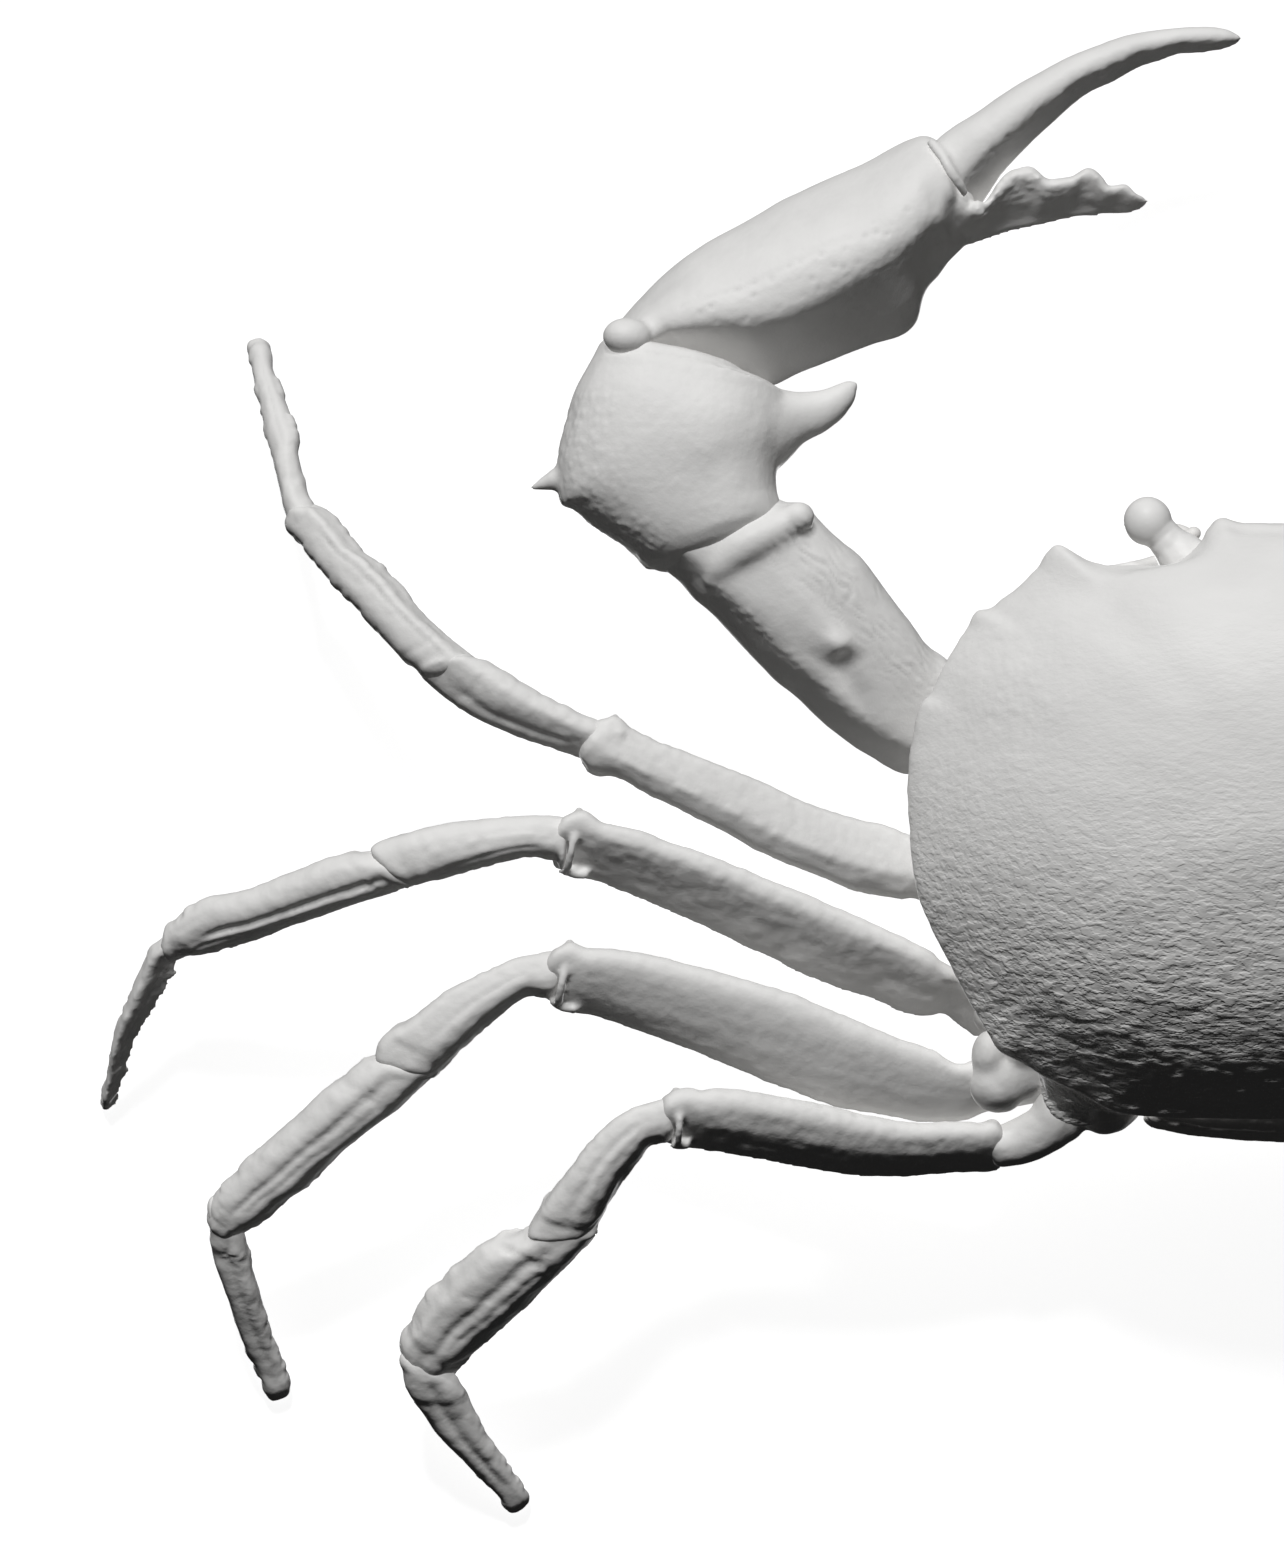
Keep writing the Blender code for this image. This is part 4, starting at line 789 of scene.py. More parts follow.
def normals(points, quads):
    """Outward unit vectors at the points."""
    way = np.cross(points[quads[:, 2]] - points[quads[:, 0]], points[quads[:, 3]] - points[quads[:, 1]])
    total = np.zeros_like(points)
    for k in range(4):
        for axis in range(3):
            total[:, axis] += np.bincount(quads[:, k], weights=way[:, axis], minlength=len(points))
    return unit(total)


def add_piece(name, points, quads, side, material, slot, *nodes):
    """Make a piece from points in millimetres, in the place of CAD nodes."""
    if side < 0:
        points = points * np.array([-1.0, 1.0, 1.0])
        quads = quads[:, ::-1]
    # Painted shade: how far each point sinks below its neighbours, kept in the hollow attribute that darkens
    # the colour
    hollow = ((relaxed(points, quads, 3) - points) * normals(points, quads)).sum(axis=1)
    mesh = bpy.data.meshes.new(name)
    mesh.vertices.add(len(points))
    mesh.vertices.foreach_set("co", (points * MM).ravel())
    mesh.loops.add(quads.size)
    mesh.loops.foreach_set("vertex_index", quads.ravel().astype(np.int32))
    mesh.polygons.add(len(quads))
    mesh.polygons.foreach_set("loop_start", np.arange(0, quads.size, 4, dtype=np.int32))
    mesh.polygons.foreach_set("use_smooth", np.ones(len(quads), dtype=bool))
    mesh.update(calc_edges=True)
    depth = mesh.attributes.new("hollow", "FLOAT", "POINT")
    depth.data.foreach_set("value", (hollow / PAINTED_HOLLOW_DEPTH).astype(np.float32))
    mesh.materials.append(material)
    piece = bpy.data.objects.new(name, mesh)
    bpy.context.scene.collection.objects.link(piece)
    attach(piece, "root")
    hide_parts(*nodes)


# Limb pieces

class Limb:
    """A limb piece: its middle line, and its half width and half height along it."""

    def __init__(self, sides, heights):
        upper, lower = sides
        flat = (upper + lower) / 2
        place = nearest(heights[:, :2], flat).astype(float)
        place[0], place[-1] = 0.0, len(flat) - 1.0
        fine = spline(np.column_stack([place, heights[:, 2:4]]), FINE, measure=1)
        stations = np.arange(len(flat))
        up, self.high = (np.interp(stations, fine[:, 0], fine[:, k]) for k in (1, 2))
        self.middle = np.column_stack([flat, up])
        self.half = np.linalg.norm(upper - lower, axis=1) / 2
        self.across = unit(np.column_stack([upper - lower, np.zeros(len(flat))]))
        self.along = unit(np.gradient(self.middle, axis=0))
        lift = unit(np.cross(self.across, self.along))
        self.lift = lift * np.where(lift[:, 2:] < 0, -1.0, 1.0)
        steps = np.linalg.norm(np.diff(self.middle, axis=0), axis=1)
        self.reach = np.concatenate([[0.0], np.cumsum(steps)])
        self.length = self.reach[-1]

    def shell(self, section, bulges, tucks=(0.0, 0.0)):
        """The closed surface, with its ends domed by `bulges` and drawn in by `tucks`.

        `section` is the same all along, or a list with one for each station.
        """
        each = section if isinstance(section, list) else [section] * len(self.middle)
        corners = [spline(one, CORNERS, closed=True, measure=2).T for one in each]
        scale = 1 - tucks[0] * np.exp(-(self.reach / TUCK_REACH) ** 2)
        scale = scale - tucks[1] * np.exp(-((self.length - self.reach) / TUCK_REACH) ** 2)
        wide = self.across * (self.half * scale)[:, None]
        tall = self.lift * (self.high * scale)[:, None]
        rings = [m + np.outer(u, a) + np.outer(v, b)
                 for m, a, b, (u, v) in zip(self.middle, wide, tall, corners)]
        near, far = (dome(self.middle[end], way * self.along[end], corners[end],
                          (wide[end], tall[end]), 1.0, bulge * min(self.half[end], self.high[end]))
                     for end, way, bulge in ((0, -1, bulges[0]), (-1, 1, bulges[1])))
        return shell(np.array(near[::-1] + rings + far))

    def local(self, points):
        """Where points lie: along the piece in mm, then across and up in shares of its size."""
        k = nearest(points, self.middle)
        offset = points - self.middle[k]
        along = self.reach[k] + (offset * self.along[k]).sum(axis=1)
        across = (offset * self.across[k]).sum(axis=1) / self.half[k]
        up = (offset * self.lift[k]).sum(axis=1) / self.high[k]
        return along, across, up

    def across_of(self, line):
        """Where a line that runs along the piece lies across it, for each station."""
        points = stationed(line, self.middle[:, :2])
        gap = points - self.middle[:, :2]
        return (gap * self.across[:, :2]).sum(axis=1) / self.half

    def at(self, share, across=0.0, up=0.0):
        """A point of the piece, at shares of its length, half width and half height."""
        k = int(round(share * (len(self.middle) - 1)))
        return (self.middle[k] + self.across[k] * self.half[k] * across
                + self.lift[k] * self.high[k] * up)


def stationed(edge, line):
    """An outline's points opposite evenly spaced places of a guide line."""
    k = nearest(edge, line)
    way = unit(np.gradient(line, axis=0))
    step = np.linalg.norm(line[1] - line[0])
    at = k + ((edge - line[k]) * way[k]).sum(axis=1) / step
    at = np.maximum.accumulate(at) + np.arange(len(at)) * 1e-6
    at = (at - at[0]) / (at[-1] - at[0])
    want = np.linspace(0, 1, STATIONS)
    return np.column_stack([np.interp(want, at, column) for column in edge.T])


def outlined(upper, lower, guide, rows):
    """A limb piece with two outlines traced from the photo, and the heights of its rows."""
    line = lengthened(spline(traced(guide), 60, measure=2), 4.0)
    line = spline(line, FINE, measure=2)
    sides = [stationed(spline(traced(edge), FINE, measure=2), line) for edge in (upper, lower)]
    return Limb(sides, np.asarray(rows)[:, [0, 1, 2, 4]])


def swept(rows):
    """A limb piece from rows of (out, forward, up, half width, half height)."""
    rows = spline(rows, STATIONS)
    way = unit(np.gradient(rows[:, :2], axis=0))
    side = np.column_stack([-way[:, 1], way[:, 0]]) * rows[:, 3:4]
    return Limb((rows[:, :2] + side, rows[:, :2] - side), rows[:, [0, 1, 2, 4]])


def finished(name, base, relief, material, slot, node):
    """Add a piece for each side, with its own relief on the same base."""
    points, quads = base
    out = normals(points, quads)
    for side_name, side in SIDES.items():
        seed = SEEDS[side_name] + sum(ord(letter) for letter in name)
        depth = relief(points, out, seed)
        raised = points + out * depth[:, None]
        add_piece(name.format(side_name), raised, quads, side, material, slot,
                  node.format(side_name))


def smooth_base(shells, voxel, rounds=4):
    points, quads = fused(shells, voxel)
    return relaxed(points, quads, rounds), quads


def softened(points, quads, place, reach, rounds):
    """The points near a place drawn into one smooth surface."""
    share = 1 - ramp(np.linalg.norm(points - place, axis=1), 0.4 * reach, reach)
    return points + (relaxed(points, quads, rounds) - points) * share[:, None]


# Sections: corners as shares of half the width and half the height, seen along the limb

def rounded(power):
    """A section between a circle (power 2) and a box."""
    u, v = circle(16)
    return np.column_stack([np.sign(u) * abs(u) ** (2 / power), np.sign(v) * abs(v) ** (2 / power)])


def profiled(heights):
    """A section from the heights of its upper face, at the places ACROSS."""
    top = tuple(zip(ACROSS, heights))
    return ((1.0, heights[0] - 0.4),) + top + ((-1.0, heights[-1] - 0.4),) + BELOW


def palm_section(ridge):
    """The palm's section: a rounded lit face, a crest at `ridge` and a steep face behind."""
    rest = 1 + ridge
    return [
        (1.0, -0.4), (0.93, -0.05), (0.8, 0.24), (0.6, 0.6), (0.4, 0.84), (0.15, 0.97),
        (ridge + 0.2, 1.0), (ridge + 0.05, 0.95), (ridge - 0.06, 0.82), (ridge - 0.4 * rest, 0.46),
        (ridge - 0.75 * rest, 0.08), (-1.0, -0.3), (-0.88, -0.7), (-0.3, -1.0), (0.4, -0.98),
        (0.88, -0.75),
    ]


# Walking legs

def leg_relief(limb, ridge, crest, grooves, rough, edge=0.0):
    """Relief of a leg piece: crest and edge teeth, slanting wrinkles, long grooves and grain."""
    width = limb.half.mean()

    def relief(points, out, seed):
        along, across, up = limb.local(points)
        top = ramp(up, -0.1, 0.4)
        share = along / limb.length
        middle = ramp(share, 0.0, 0.12) * (1 - ramp(share, 0.9, 1.0))
        flat = np.column_stack([along, across * width, 0.4 * up])
        depth = 0.012 * noise(points, 0.55, seed) + 0.008 * noise(points, 0.26, seed + 1)
        slanting = wrinkles(flat, (0.5, 0.85, 0.0), 1.0, 0.28, seed + 2)
        depth += rough * 0.013 * slanting * top
        teeth = ramp(noise(flat * (1.0, 0.2, 0.2), 0.27, seed + 6), -0.4, 0.4)
        depth += edge * (teeth - 0.4) * ramp(abs(across), 0.7, 0.95) * middle
        depth -= rough * 0.02 * grains(flat, 0.45, seed + 3) * ramp(across, -0.9, 0.4)
        saw = ramp(noise(flat * (1.0, 0.25, 0.25), 0.34, seed + 4), -0.35, 0.35)
        on_crest = bump(across, ridge, 0.15) * ramp(up, 0.35, 0.8) * middle
        depth += crest * on_crest * (0.02 + 0.07 * saw)
        behind = ramp(ridge - across, 0.08, 0.3) * ramp(up, -0.7, -0.2)
        depth += rough * 0.02 * behind * noise(flat * (0.5, 1.0, 1.0), 0.3, seed + 5)
        for place, cut, width_share, start, end in grooves:
            reach = ramp(share, start, start + 0.12) * (1 - ramp(share, end - 0.12, end))
            depth -= cut * bump(across, place, width_share) * top * reach
        return depth

    return relief


def merus_rim(limb, size):
    """The raised rim at a merus's far end, with its knob and its hook."""
    places = ((-0.97, -0.2), (-0.8, 0.4), (-0.3, 0.82), (0.3, 0.8), (0.8, 0.42), (0.97, -0.2))
    rim = tube([(*limb.at(0.972, u, v), size) for u, v in places])
    knob = ball(limb.at(0.955, 0.5, 0.7), (size * 2.1, size * 1.7, size * 1.5))
    hook = tube([(*limb.at(0.93, -0.86, -0.05), size * 1.3), (*limb.at(0.97, -0.98, -0.1), size),
                 (*limb.at(1.0, -1.04, -0.15), size * 0.55)])
    return [rim, knob, hook]


def knuckle(limb, size):
    """The fold of soft skin round a piece's near end."""
    places = ((-0.9, -0.3), (-0.7, 0.5), (0.0, 0.86), (0.7, 0.5), (0.9, -0.3))
    return tube([(*limb.at(0.02, u, v), size) for u, v in places])


def add_leg(leg, material):
    def add(part, base, relief):
        name = f"{leg}_{{}}_{part}"
        finished("shell_" + name, base, relief, material, "leg_shell", name)

    coxa = swept(LEG_ROWS[leg]["coxa"])
    lobes = [ball(place, radii) for place, radii in COXA_LOBES[leg]]
    shells = [coxa.shell(rounded(2.2), (0.6, 0.5), (0.0, 0.12))] + lobes
    add("coxa", smooth_base(shells, VOXEL["leg coxa"], 14), leg_relief(coxa, 0.0, 0.0, (), 0.7))
    for part, (upper, lower, guide) in LEG_OUTLINES[leg].items():
        section, ridge, crest, grooves, rough = LEG_LOOKS[leg][part]
        limb = outlined(upper, lower, guide, LEG_ROWS[leg][part])
        shells = [limb.shell(profiled(section), END_BULGES[part])]
        if part == "merus":
            shells += merus_rim(limb, 0.15 * limb.half[-1])
        else:
            shells.append(knuckle(limb, 0.11 * limb.half[0]))
        points, quads = smooth_base(shells, VOXEL["leg"], 2)
        points[:, 2] = np.maximum(points[:, 2], FOOT_LEVEL)
        relief = leg_relief(limb, ridge, crest, grooves, rough, EDGE_TEETH[part])
        add(part, (points, quads), relief)


# Claws

def merus_tooth(points, share, across, seed):
    """The claw merus's face that rises to a blunt tooth, and the groove behind it."""
    place, middle = MERUS_TOOTH
    ahead = share - place
    left = middle - across
    crest = 0.65 * np.exp(-np.maximum(ahead, 0) / 0.08) + 0.35 * np.clip(1 - ahead / 0.45, 0, 1)
    crest = crest * ramp(ahead, -0.09, 0.02)
    wide = 0.1 + 1.3 * np.clip(ahead, 0, 0.4)
    sides = (1 - ramp(left, 0.3 * wide, 0.3 + wide)) * (1 - ramp(-left, 0.0, 0.3))
    knob = bump(ahead, 0.03, 0.03) * bump(left, 0.05, 0.13)
    groove = bump(left + 1.6 * ahead, 0.14, 0.2) * ramp(-ahead, -0.02, 0.06)
    groove = groove * (1 - ramp(-ahead, 0.14, 0.3))
    return 0.5 * crest * sides + 0.08 * knob - 0.24 * groove


def fixed_grain(points, share, across, seed):
    """Granules of the fixed finger, which lies past the palm's end."""
    return 0.07 * ramp(share, 1.04, 1.12) * grains(points, 0.32, seed)


def claw_relief(limb, ridge, crest, rough, marks=(), extra=None):
    """Relief of a claw piece: grain, a pitted crest, marks, wrinkles and what is `extra`."""

    def relief(points, out, seed):
        along, across, up = limb.local(points)
        top = ramp(up, -0.2, 0.4)
        share = along / limb.length
        depth = 0.014 * noise(points, 0.9, seed) + 0.006 * noise(points, 0.3, seed + 1)
        on_crest = bump(across, ridge, 0.1) * ramp(up, 0.35, 0.8)
        depth += crest * on_crest * 0.05 * noise(points, 0.36, seed + 2)
        depth -= crest * on_crest * 0.06 * grains(points, 0.5, seed + 3)
        flat = np.column_stack([along, across * limb.half.mean(), 0.5 * up])
        for place, reach, start, end, height, kind in marks:
            patch = bump(across, place, reach) * ramp(share, start, start + 0.1)
            patch = patch * (1 - ramp(share, end - 0.1, end))
            if kind == "granules":
                depth += height * patch * grains(points, 0.34, seed + 4)
            elif kind == "folds":
                wavy = flat[:, 1] + 0.22 * noise(points, 0.9, seed + 5) + 0.12 * noise(points, 0.4, seed)
                broken = ramp(noise(points, 0.4, seed + 8), -0.7, 0.3)
                depth += height * patch * broken * np.sin(wavy * FOLDS)
            elif kind == "pits":
                depth -= height * patch * ramp(grains(points, 0.55, seed + 9), 0.4, 0.9)
            else:
                depth -= height * patch
        depth += rough * 0.01 * top * wrinkles(flat, (1.0, -0.3, 0.0), 1.0, 0.3, seed + 6)
        if extra:
            depth += extra(points, share, across, seed + 7) * top
        return depth

    return relief


def at_photo(column, row, up):
    """A place of the photo at a given height."""
    return (*traced([(column, row)])[0], up)


def claw_merus(merus):
    """The merus with the lip at its far end."""
    lip = [(*place, *rest) for place, rest in zip(traced(CLAW_LIP), CLAW_LIP_ROWS)]
    shells = [merus.shell(profiled(CLAW_MERUS), (0.3, 0.3)), tube(lip),
              ball(at_photo(798, 518, 9.7), (0.62, 0.6, 0.7))]
    points, quads = smooth_base(shells, VOXEL["claw"])
    return softened(points, quads, (*lip[3][:2], 9.6), 2.8, 24), quads


def claw_carpus(carpus, spine):
    """The carpus with its inner and outer spines."""
    shells = [carpus.shell(profiled(CLAW_CARPUS), (0.55, 0.2)),
              spine.shell(rounded(2.1), (0.3, 0.7)), tube(OUTER_SPINE)]
    points, quads = smooth_base(shells, VOXEL["claw"])
    for place, reach, rounds in ((spine.at(0.2, 0.0, 0.9), 2.3, 60),
                                 (OUTER_SPINE[0][:3], 1.5, 30), (CARPUS_BEND, 3.6, 160)):
        points = softened(points, quads, place, reach, rounds)
    return points, quads


def claw_palm(palm, fixed):
    """The palm with its fixed finger, the knob at its near end and the finger's hinge."""
    knob = ball(at_photo(627, 337, 8.7), (0.92, 0.72, 0.85))
    boss = ball(at_photo(958, 203, 6.2), (0.65, 0.8, 1.15))
    hinge = ball(at_photo(978, 209, 7.0), (0.3, 0.34, 0.36))
    teeth = [ball(place, radii) for place, radii in FIXED_TEETH]
    sections = [palm_section(ridge) for ridge in palm.across_of(spline(traced(PALM_RIDGE), FINE))]
    shells = [palm.shell(sections, (0.3, 0.25)), knob, boss, hinge,
              fixed.shell(profiled(FIXED_FINGER), (0.9, 0.8))] + teeth
    return smooth_base(shells, VOXEL["claw"])


def claw_finger(moving):
    """The moving finger with the lip at its hinge."""
    teeth = [ball(place, radii) for place, radii in MOVING_TEETH]
    shells = [moving.shell(profiled(MOVING_FINGER), (0.3, 0.8), (0.06, 0.0)), tube(FINGER_LIP)]
    return smooth_base(shells + teeth, VOXEL["claw"])


def add_claws(material):
    def add(part, base, relief):
        name = f"claw_{{}}_{part}"
        finished("shell_" + name, base, relief, material, "claw_shell", name)

    coxa = swept(CLAW_ROWS["coxa"])
    merus, carpus, spine, palm, fixed, moving = (
        outlined(*outlines, CLAW_ROWS[part]) for part, outlines in CLAW_OUTLINES.items())
    shells = [coxa.shell(rounded(2.3), (0.5, 0.6), (0.0, 0.1))]
    add("coxa", smooth_base(shells, VOXEL["claw coxa"]), claw_relief(coxa, 0.0, 0.0, 0.6))
    marks = CLAW_MARKS
    add("merus", claw_merus(merus), claw_relief(merus, 0.2, 0.0, 0.6, marks["merus"], merus_tooth))
    add("carpus", claw_carpus(carpus, spine), claw_relief(carpus, -0.6, 0.0, 0.3, marks["carpus"]))
    add("palm", claw_palm(palm, fixed),
        claw_relief(palm, -0.2, 0.3, 0.15, marks["palm"], fixed_grain))
    add("finger", claw_finger(moving), claw_relief(moving, -0.25, 0.5, 0.2, marks["finger"]))


# Carapace

def blurred(values, turn, spread):
    """Values round a ring, evened out over about `spread` degrees."""
    weights = np.exp(-(turn / math.radians(spread)) ** 2)
    weights = np.fft.rfft(np.fft.ifftshift(weights / weights.sum()))
    return np.fft.irfft(np.fft.rfft(values) * weights, TURNS)


def margin():
    """The shell's edge round its centre: true and plain reach, and height, by direction."""
    half = spline(traced(MARGIN), 3000, measure=2) - CENTRE
    angle = np.maximum.accumulate(np.arctan2(half[:, 0], half[:, 1]))
    turn = np.linspace(-math.pi, math.pi, TURNS, endpoint=False)
    reach = np.interp(abs(turn), angle, np.linalg.norm(half, axis=1))
    edge = np.asarray(EDGE_HEIGHTS)
    edge_angle = np.arctan2(edge[:, 0], edge[:, 1] - CENTRE[1])
    height = np.interp(abs(turn), edge_angle, edge[:, 2])
    return turn, reach, blurred(reach, turn, 20.0), blurred(height, turn, 5.0)


def carapace_rings():
    """Rings from the top of the back over the edge and down the walls."""
    turn, reach, plain, height = margin()
    way = np.column_stack([np.sin(turn), np.cos(turn)])
    ahead = np.cos(turn)
    to_side = np.where(ahead > 0, np.sin(turn) ** 2, np.sin(turn) ** 4)
    rear = spline(REAR_RISE, FINE, measure=1)
    rings = []
    for share in np.linspace(0.01, 1.0, 120):
        notch = ramp(share, 0.9, 1.0)
        far = share * (plain * (1 - notch) + reach * notch)
        front_rise, side_rise = ((1 - share ** p) ** q for p, q in (DOME_FRONT, DOME_SIDE))
        end_rise = np.where(ahead > 0, front_rise, np.interp(share, *rear.T))
        rise = side_rise * to_side + end_rise * (1 - to_side)
        rings.append(np.column_stack([way * far[:, None] + CENTRE, height + (TOP - height) * rise]))
    walls = [rings[-1]]
    orbit, orbit_width, orbit_depth = ORBIT
    place, spread, skirt = SKIRT
    corner = bump(np.degrees(abs(turn)), place, spread)
    for share, level, follow, out in WALLS:
        level = level + follow * (height - WALL_LEVEL)
        hollow = orbit_depth * bump(abs(way[:, 0] * reach), orbit, orbit_width) * (ahead > 0)
        hollow = hollow * bump(share, 0.975, 0.02)
        share = share + (1 - share) * corner * (out > 0)
        far = reach * share - hollow + skirt * corner * out
        walls.append(np.column_stack([way * far[:, None] + CENTRE, level]))
    padded = [walls[0]] + walls + [walls[-1]]
    for k in range(len(walls) - 1):
        for step in range(4):
            rings.append(catmull(*padded[k:k + 4], (step + 0.5) / 4))
    rings.append(walls[-1])
    return np.array(rings)


def carapace_relief(points, out, seed):
    """Soft regions of the back, the rugae of the rear and flanks, granules and grain."""
    side = abs(points[:, 0])
    y = points[:, 1]
    top = ramp(out[:, 2], 0.2, 0.55)
    level = points * (1.0, 1.0, 0.5)
    rear = ramp(-y, 0.0, 9.0)
    flank = ramp(side, 8.0, 12.5)
    depth = 0.03 * noise(points, 2.2, seed) + 0.012 * noise(points, 0.8, seed + 1)
    for place_x, place_y, wide, long, height in BACK_REGIONS:
        depth += height * np.exp(-((side - place_x) / wide) ** 2 - ((y - place_y) / long) ** 2)
    rough = 0.3 + 0.7 * np.maximum(rear, 0.6 * flank)
    rugae = wrinkles(level, (1.0, 0.0, 0.0), 0.5, 0.26, seed + 2)
    scales = ramp(wrinkles(level, (1.0, 0.0, 0.0), 0.55, 0.33, seed + 3), -0.3, 0.3)
    depth += top * (0.015 * rough * rugae + 0.03 * rear * scales)
    granules = grains(points, 0.36, seed + 4)
    patch = np.exp(-((side - 10.4) / 1.5) ** 2 - ((y - 2.6) / 1.6) ** 2)
    depth += top * (0.02 * patch + 0.012 * flank) * granules
    depth += (1 - top) * (0.018 * grains(points, 0.42, seed + 5) + 0.02 * noise(points, 0.5, seed + 6))
    return depth


def rimmed(points):
    """Height added along the edge of the back, in front and behind."""
    turn, reach, _, _ = margin()
    gap = points[:, :2] - CENTRE
    here = np.interp(np.arctan2(gap[:, 0], gap[:, 1]), turn, reach)
    inset = here - np.linalg.norm(gap, axis=1)
    y = points[:, 1]
    behind = ramp(-y, 10.5, 11.5) * (1 - ramp(abs(points[:, 0]), 4.5, 6.5))
    front = ramp(y, 8.0, 9.0) * (1 - ramp(abs(points[:, 0]), 3.0, 4.0))
    lift = behind * (0.05 * bump(inset, 0.18, 0.16) - 0.05 * bump(inset, 0.6, 0.22))
    lift += front * (0.05 * bump(inset, 0.1, 0.1) - 0.04 * bump(inset, 0.32, 0.14))
    return lift * (points[:, 2] > 9.0)


def add_carapace(material):
    shells = [shell(carapace_rings())]
    for side in SIDES.values():
        for rows in (LOWER_ORBIT, FRONT_FOLD):
            shells.append(tube([(side * row[0], *row[1:]) for row in rows]))
    shells.append(tube(MOUTH_RIDGE))
    points, quads = smooth_base(shells, VOXEL["carapace"], 5)
    top, middle, wide, long = HIDDEN
    inside = np.hypot(points[:, 0] / wide, (points[:, 1] - middle) / long) < 1
    hidden = (points[:, 2] < top) & inside
    quads = quads[~hidden[quads].any(axis=1)]
    used, quads = np.unique(quads, return_inverse=True)
    points, quads = points[used], quads.reshape(-1, 4)
    out = normals(points, quads)
    depth = carapace_relief(points, out, 5) + rimmed(points)
    add_piece("shell_carapace", points + out * depth[:, None], quads, 1.0, material,
              "carapace_shell", "carapace")


# Eyes, antennae, mouth and underside

def add_eyes(material):
    stalk = tube(EYE_STALK, corners=28)
    cornea = ball(CORNEA, (0.9, 0.92, 0.86), corners=36, rows=24)
    pit = ball(EYE_ROOT, (0.75, 0.5, 0.6), turn=40.0)

    def relief(points, out, seed):
        gap = np.linalg.norm(points - np.asarray(CORNEA), axis=1)
        on_stalk = ramp(gap, 0.95, 1.3)
        seam = bump(gap, 1.02, 0.09) * ramp(CORNEA[1] - points[:, 1], 0.1, 0.5)
        return (0.004 * noise(points, 0.3, seed) - 0.03 * seam
                + on_stalk * (0.014 * noise(points, 0.28, seed + 1)))

    finished("eyeball_{}", smooth_base([stalk, cornea, pit], VOXEL["small"]), relief, material,
             "eye", "eye_{}")


def plain_relief(grain):
    """Relief of the parts that the photo doesn't show."""

    def relief(points, out, seed):
        return (grain * 0.014 * noise(points, 0.3, seed) + grain * 0.02 * noise(points, 0.8, seed + 1)
                + grain * 0.012 * grains(points, 0.34, seed + 2))

    return relief


def add_antennae(material):
    shells = [tube(ANTENNA), ball(ANTENNULE, (0.28, 0.27, 0.32)),
              ball(ANTENNULE_OUTER, (0.25, 0.24, 0.3))]
    finished("feeler_{}", smooth_base(shells, VOXEL["small"]), plain_relief(0.5), material,
             "underside_shell", "antenna_{}")


def add_mouthparts(material):
    shells = [swept(rows).shell(rounded(3.0), (0.5, 0.5)) for rows in MOUTH_PLATES]
    shells.append(tube(MOUTH_PALP))
    shells.append(ball((1.8, 5.0, 6.1), (1.75, 2.3, 1.1)))
    finished("mouth_{}", smooth_base(shells, VOXEL["mouth"]), plain_relief(1.0), material,
             "underside_shell", "maxilliped_{}")


def add_thorax(material):
    half = spline(THORAX_EDGE, 180, measure=2)
    outline = np.vstack([half, half[-2:0:-1] * (-1, 1)])
    from_middle = outline - THORAX_MIDDLE
    rings = [np.column_stack([from_middle * share + THORAX_MIDDLE, np.full(len(outline), up)])
             for share, up in THORAX_RINGS]
    points, quads = smooth_base([shell(np.array(rings))], VOXEL["thorax"])
    out = normals(points, quads)
    side = abs(points[:, 0])
    below = ramp(-out[:, 2], 0.1, 0.5)
    depth = plain_relief(1.0)(points, out, 9)
    for suture in SUTURES:
        line = points[:, 1] - suture - 0.14 * (side - 2.0)
        depth -= 0.16 * below * bump(line, 0.0, 0.16)
        depth += 0.12 * below * bump(line, -1.3, 0.8)
    depth -= 0.2 * below * bump(side, 2.6 + 0.16 * (-points[:, 1]), 0.3)
    add_piece("shell_thorax", points + out * depth[:, None], quads, 1.0, material,
              "underside_shell", "thorax")


def add_abdomen(material):
    path = spline([(0.0, *row) for row in ABDOMEN_PATH], 120)
    along = unit(np.gradient(path[:, 1:3], axis=0))
    outward = np.column_stack([np.zeros(len(path)), along[:, 1], -along[:, 0]])
    u, v = spline(rounded(3.4), CORNERS, closed=True, measure=2).T
    rings = []
    for place, way, half in zip(path[:, :3], outward, path[:, 3]):
        bow = -0.45 * u ** 2
        rings.append(place + np.outer(u * half, (1, 0, 0)) + np.outer(0.4 * v + bow + 0.2, way))
    points, quads = smooth_base([shell(np.array(rings))], VOXEL["abdomen"])
    out = normals(points, quads)
    steps = np.linalg.norm(np.diff(path[:, :3], axis=0), axis=1)
    reach = np.concatenate([[0.0], np.cumsum(steps)])
    here = reach[nearest(points[:, 1:], path[:, 1:3])]
    depth = plain_relief(1.0)(points, out, 3)
    for joint in ABDOMEN_JOINTS:
        depth -= 0.16 * bump(here, joint, 0.16) - 0.05 * bump(here, joint - 0.5, 0.3)
    add_piece("shell_abdomen", points + out * depth[:, None], quads, 1.0, material,
              "underside_shell", "abdomen")


# Materials, all from nodes in object coordinates

def fill(tree, node, inputs):
    """Set inputs of a node to a value, or link them to another node's output."""
    for name, value in inputs.items():
        if isinstance(value, bpy.types.NodeSocket):
            tree.links.new(value, node.inputs[name])
        else:
            node.inputs[name].default_value = value


def add_node(tree, kind, inputs):
    node = tree.nodes.new("ShaderNode" + kind)
    fill(tree, node, inputs)
    return node


def add_place(tree):
    """Where a point lies, in metres."""
    return add_node(tree, "TexCoord", {}).outputs["Object"]


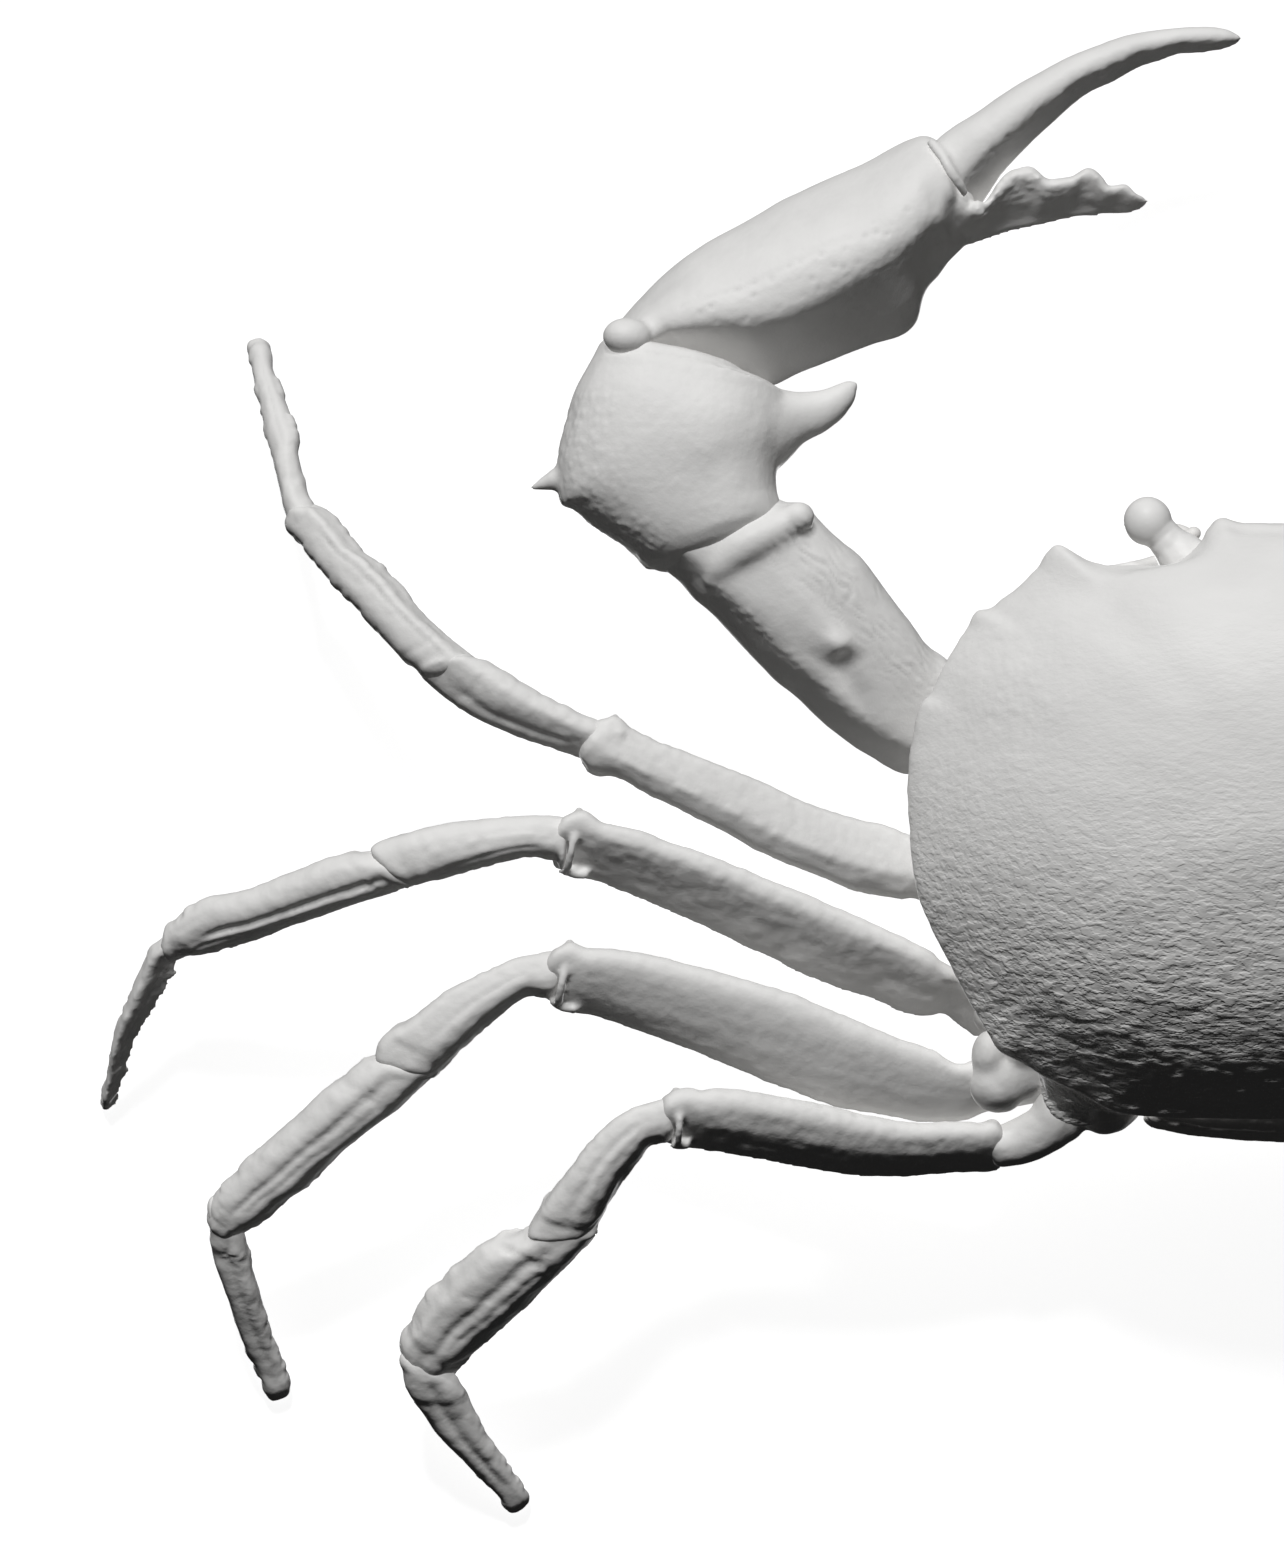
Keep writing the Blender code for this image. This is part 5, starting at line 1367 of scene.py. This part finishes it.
def add_tones(tree, factor, tones, ends=(0.0, 1.0)):
    """A colour between two tones."""
    ramped = add_node(tree, "ValToRGB", {"Fac": factor})
    for element, tone, end in zip(ramped.color_ramp.elements, tones, ends):
        element.position = end
        element.color = (*tone, 1)
    return ramped.outputs["Color"]


def new_material(name):
    """A material, its node tree and its shader."""
    material = bpy.data.materials.new(name)
    material.use_nodes = True
    tree = material.node_tree
    return material, tree, tree.nodes["Principled BSDF"]


def shell_material(name, tone, roughness, patch_size, grain_size, grain_depth, stretch):
    """Pale matte shell: faint patches, painted shade in the hollows, fine grain and uneven roughness."""
    material, tree, shader = new_material(name)
    drawn_out = add_node(tree, "Mapping", {
        "Scale": (1 / stretch, 1.0, 1.0), "Vector": add_place(tree)})

    def texture(size, detail, rough):
        """Noise whose bumps are `size` millimetres across."""
        return add_node(tree, "TexNoise", {
            "Scale": 1 / (size * MM), "Detail": detail, "Roughness": rough,
            "Vector": drawn_out.outputs["Vector"]}).outputs["Fac"]

    darker = [part * PATCH_SHADE for part in tone]
    patches = add_tones(tree, texture(patch_size, 4, 0.6), (darker, tone), (0.3, 0.7))
    # Painted shade: the hollows found from the mesh darken the colour, mixed over the patches
    hollow = add_node(tree, "Attribute", {})
    hollow.attribute_name = "hollow"
    shade = add_node(tree, "MapRange", {"Value": hollow.outputs["Fac"], "To Max": PAINTED_HOLLOW_SHARE})
    patches_and_painted_shade = add_node(tree, "Mix", {})
    patches_and_painted_shade.data_type = "RGBA"
    fill(tree, patches_and_painted_shade, {"Factor": shade.outputs["Result"], "A": patches,
                         "B": (*[part * PAINTED_HOLLOW_SHADE for part in tone], 1)})
    rough = add_node(tree, "MapRange", {
        "Value": texture(0.6, 3, 0.5), "To Min": roughness - ROUGHNESS_SPREAD,
        "To Max": roughness + ROUGHNESS_SPREAD})
    grain = add_node(tree, "Bump", {
        "Strength": 1.0, "Distance": grain_depth * MM, "Height": texture(grain_size, 3, 0.6)})
    fill(tree, shader, {
        "Specular IOR Level": 0.25, "Base Color": patches_and_painted_shade.outputs["Result"],
        "Roughness": rough.outputs["Result"], "Normal": grain.outputs["Normal"]})
    return material


def add_fine_rugae(material):
    """Short crosswise folds on the rear half of the back, too fine for its mesh."""
    tree = material.node_tree
    place = add_place(tree)
    split = add_node(tree, "SeparateXYZ", {"Vector": place})
    behind = add_node(tree, "MapRange", {
        "Value": split.outputs["Y"], "From Min": RUGAE_REACH[0], "From Max": RUGAE_REACH[1]})
    drawn_out = add_node(tree, "Mapping", {"Scale": (0.5, 1.0, 1.0), "Vector": place})
    folds = add_node(tree, "TexNoise", {
        "Scale": 1 / (RUGAE_SIZE * MM), "Detail": 2, "Vector": drawn_out.outputs["Vector"]})
    crisp = add_node(tree, "MapRange", {
        "Value": folds.outputs["Fac"], "From Min": 0.38, "From Max": 0.6})
    crisp.interpolation_type = "SMOOTHSTEP"
    height = add_node(tree, "Math", {0: crisp.outputs["Result"], 1: behind.outputs["Result"]})
    height.operation = "MULTIPLY"
    relief = add_node(tree, "Bump", {
        "Distance": RUGAE_DEPTH * MM, "Height": height.outputs["Value"]})
    fill(tree, tree.nodes["Bump"], {"Normal": relief.outputs["Normal"]})


def floor_material():
    material, tree, shader = new_material("pale_floor")
    clouds = add_node(tree, "TexNoise", {"Scale": 14.0, "Vector": add_place(tree)})
    greys = [(tone, tone, tone) for tone in FLOOR_TONES]
    fill(tree, shader, {
        "Roughness": 0.9, "Specular IOR Level": 0.0, "Emission Color": (1, 1, 1, 1),
        "Emission Strength": FLOOR_GLOW, "Base Color": add_tones(tree, clouds.outputs["Fac"], greys)})
    return material


# Surroundings

def add_floor():
    mesh = bpy.data.meshes.new("floor")
    far = FLOOR_REACH
    mesh.from_pydata([(-far, -far, 0), (far, -far, 0), (far, far, 0), (-far, far, 0)], [],
                     [(0, 1, 2, 3)])
    mesh.materials.append(floor_material())
    floor = bpy.data.objects.new("floor", mesh)
    floor.visible_diffuse = False
    floor.visible_glossy = False
    bpy.context.scene.collection.objects.link(floor)
    floor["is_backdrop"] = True


def add_sun(name, way, strength, shadow):
    """A distant light that shines from `way`."""
    sun = bpy.data.lights.new(name, "SUN")
    sun.energy = strength
    sun.angle = math.radians(SOFTNESS)
    sun.use_shadow = shadow
    light = bpy.data.objects.new(name, sun)
    light.rotation_euler = Vector(way).to_track_quat("Z", "Y").to_euler()
    bpy.context.scene.collection.objects.link(light)


def add_lights():
    """A key light from the front, halfway up, and the light that the floor throws back."""
    add_sun("key", TO_LIGHT, KEY_STRENGTH * (1 - SHADOW_SHARE), False)
    add_sun("key_with_shadow", TO_LIGHT, KEY_STRENGTH * SHADOW_SHARE, True)
    for number, way in enumerate(BOUNCES):
        add_sun(f"bounce_{number}", way, BOUNCE_STRENGTH, False)
    world = bpy.data.worlds.new("dim_room")
    world.use_nodes = True
    room = world.node_tree.nodes["Background"]
    room.inputs["Color"].default_value = (1, 1, 1, 1)
    room.inputs["Strength"].default_value = ROOM_LIGHT
    bpy.context.scene.world = world


def add_camera():
    """Straight down, over the middle of the photo's frame."""
    frame_height = PHOTO_HEIGHT * PIXEL
    camera = bpy.data.cameras.new("camera")
    camera.type = "PERSP"
    camera.lens = LENS
    camera.sensor_width = SENSOR
    camera.clip_start = 0.01
    view = bpy.data.objects.new("camera", camera)
    out = (MIDLINE - PHOTO_WIDTH / 2) * PIXEL
    forward = (LEVEL - PHOTO_HEIGHT / 2) * PIXEL
    height = frame_height * LENS / SENSOR + FOCUS_LEVEL
    view.location = (-out * MM, forward * MM, height * MM)
    bpy.context.scene.collection.objects.link(view)
    bpy.context.scene.camera = view


def main():
    back, claw, leg, under, eye = (shell_material(name, *look) for name, look in MATERIALS.items())
    add_fine_rugae(back)
    add_carapace(back)
    add_thorax(under)
    add_abdomen(under)
    add_eyes(eye)
    add_antennae(under)
    add_mouthparts(under)
    add_claws(claw)
    for name in LEG_ROWS:
        add_leg(name, leg)
    add_floor()
    add_lights()
    add_camera()
    bpy.context.scene.view_settings.view_transform = "Standard"


def plain(box):
    return [[float(value) for value in corner] for corner in box]


def write_sizes():
    """Work out the CAD box and the box of the finished model, both in metres; they are not kept."""
    boxes = {"cad": plain(cad_box), "visual": plain(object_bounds())}


main()
write_sizes()
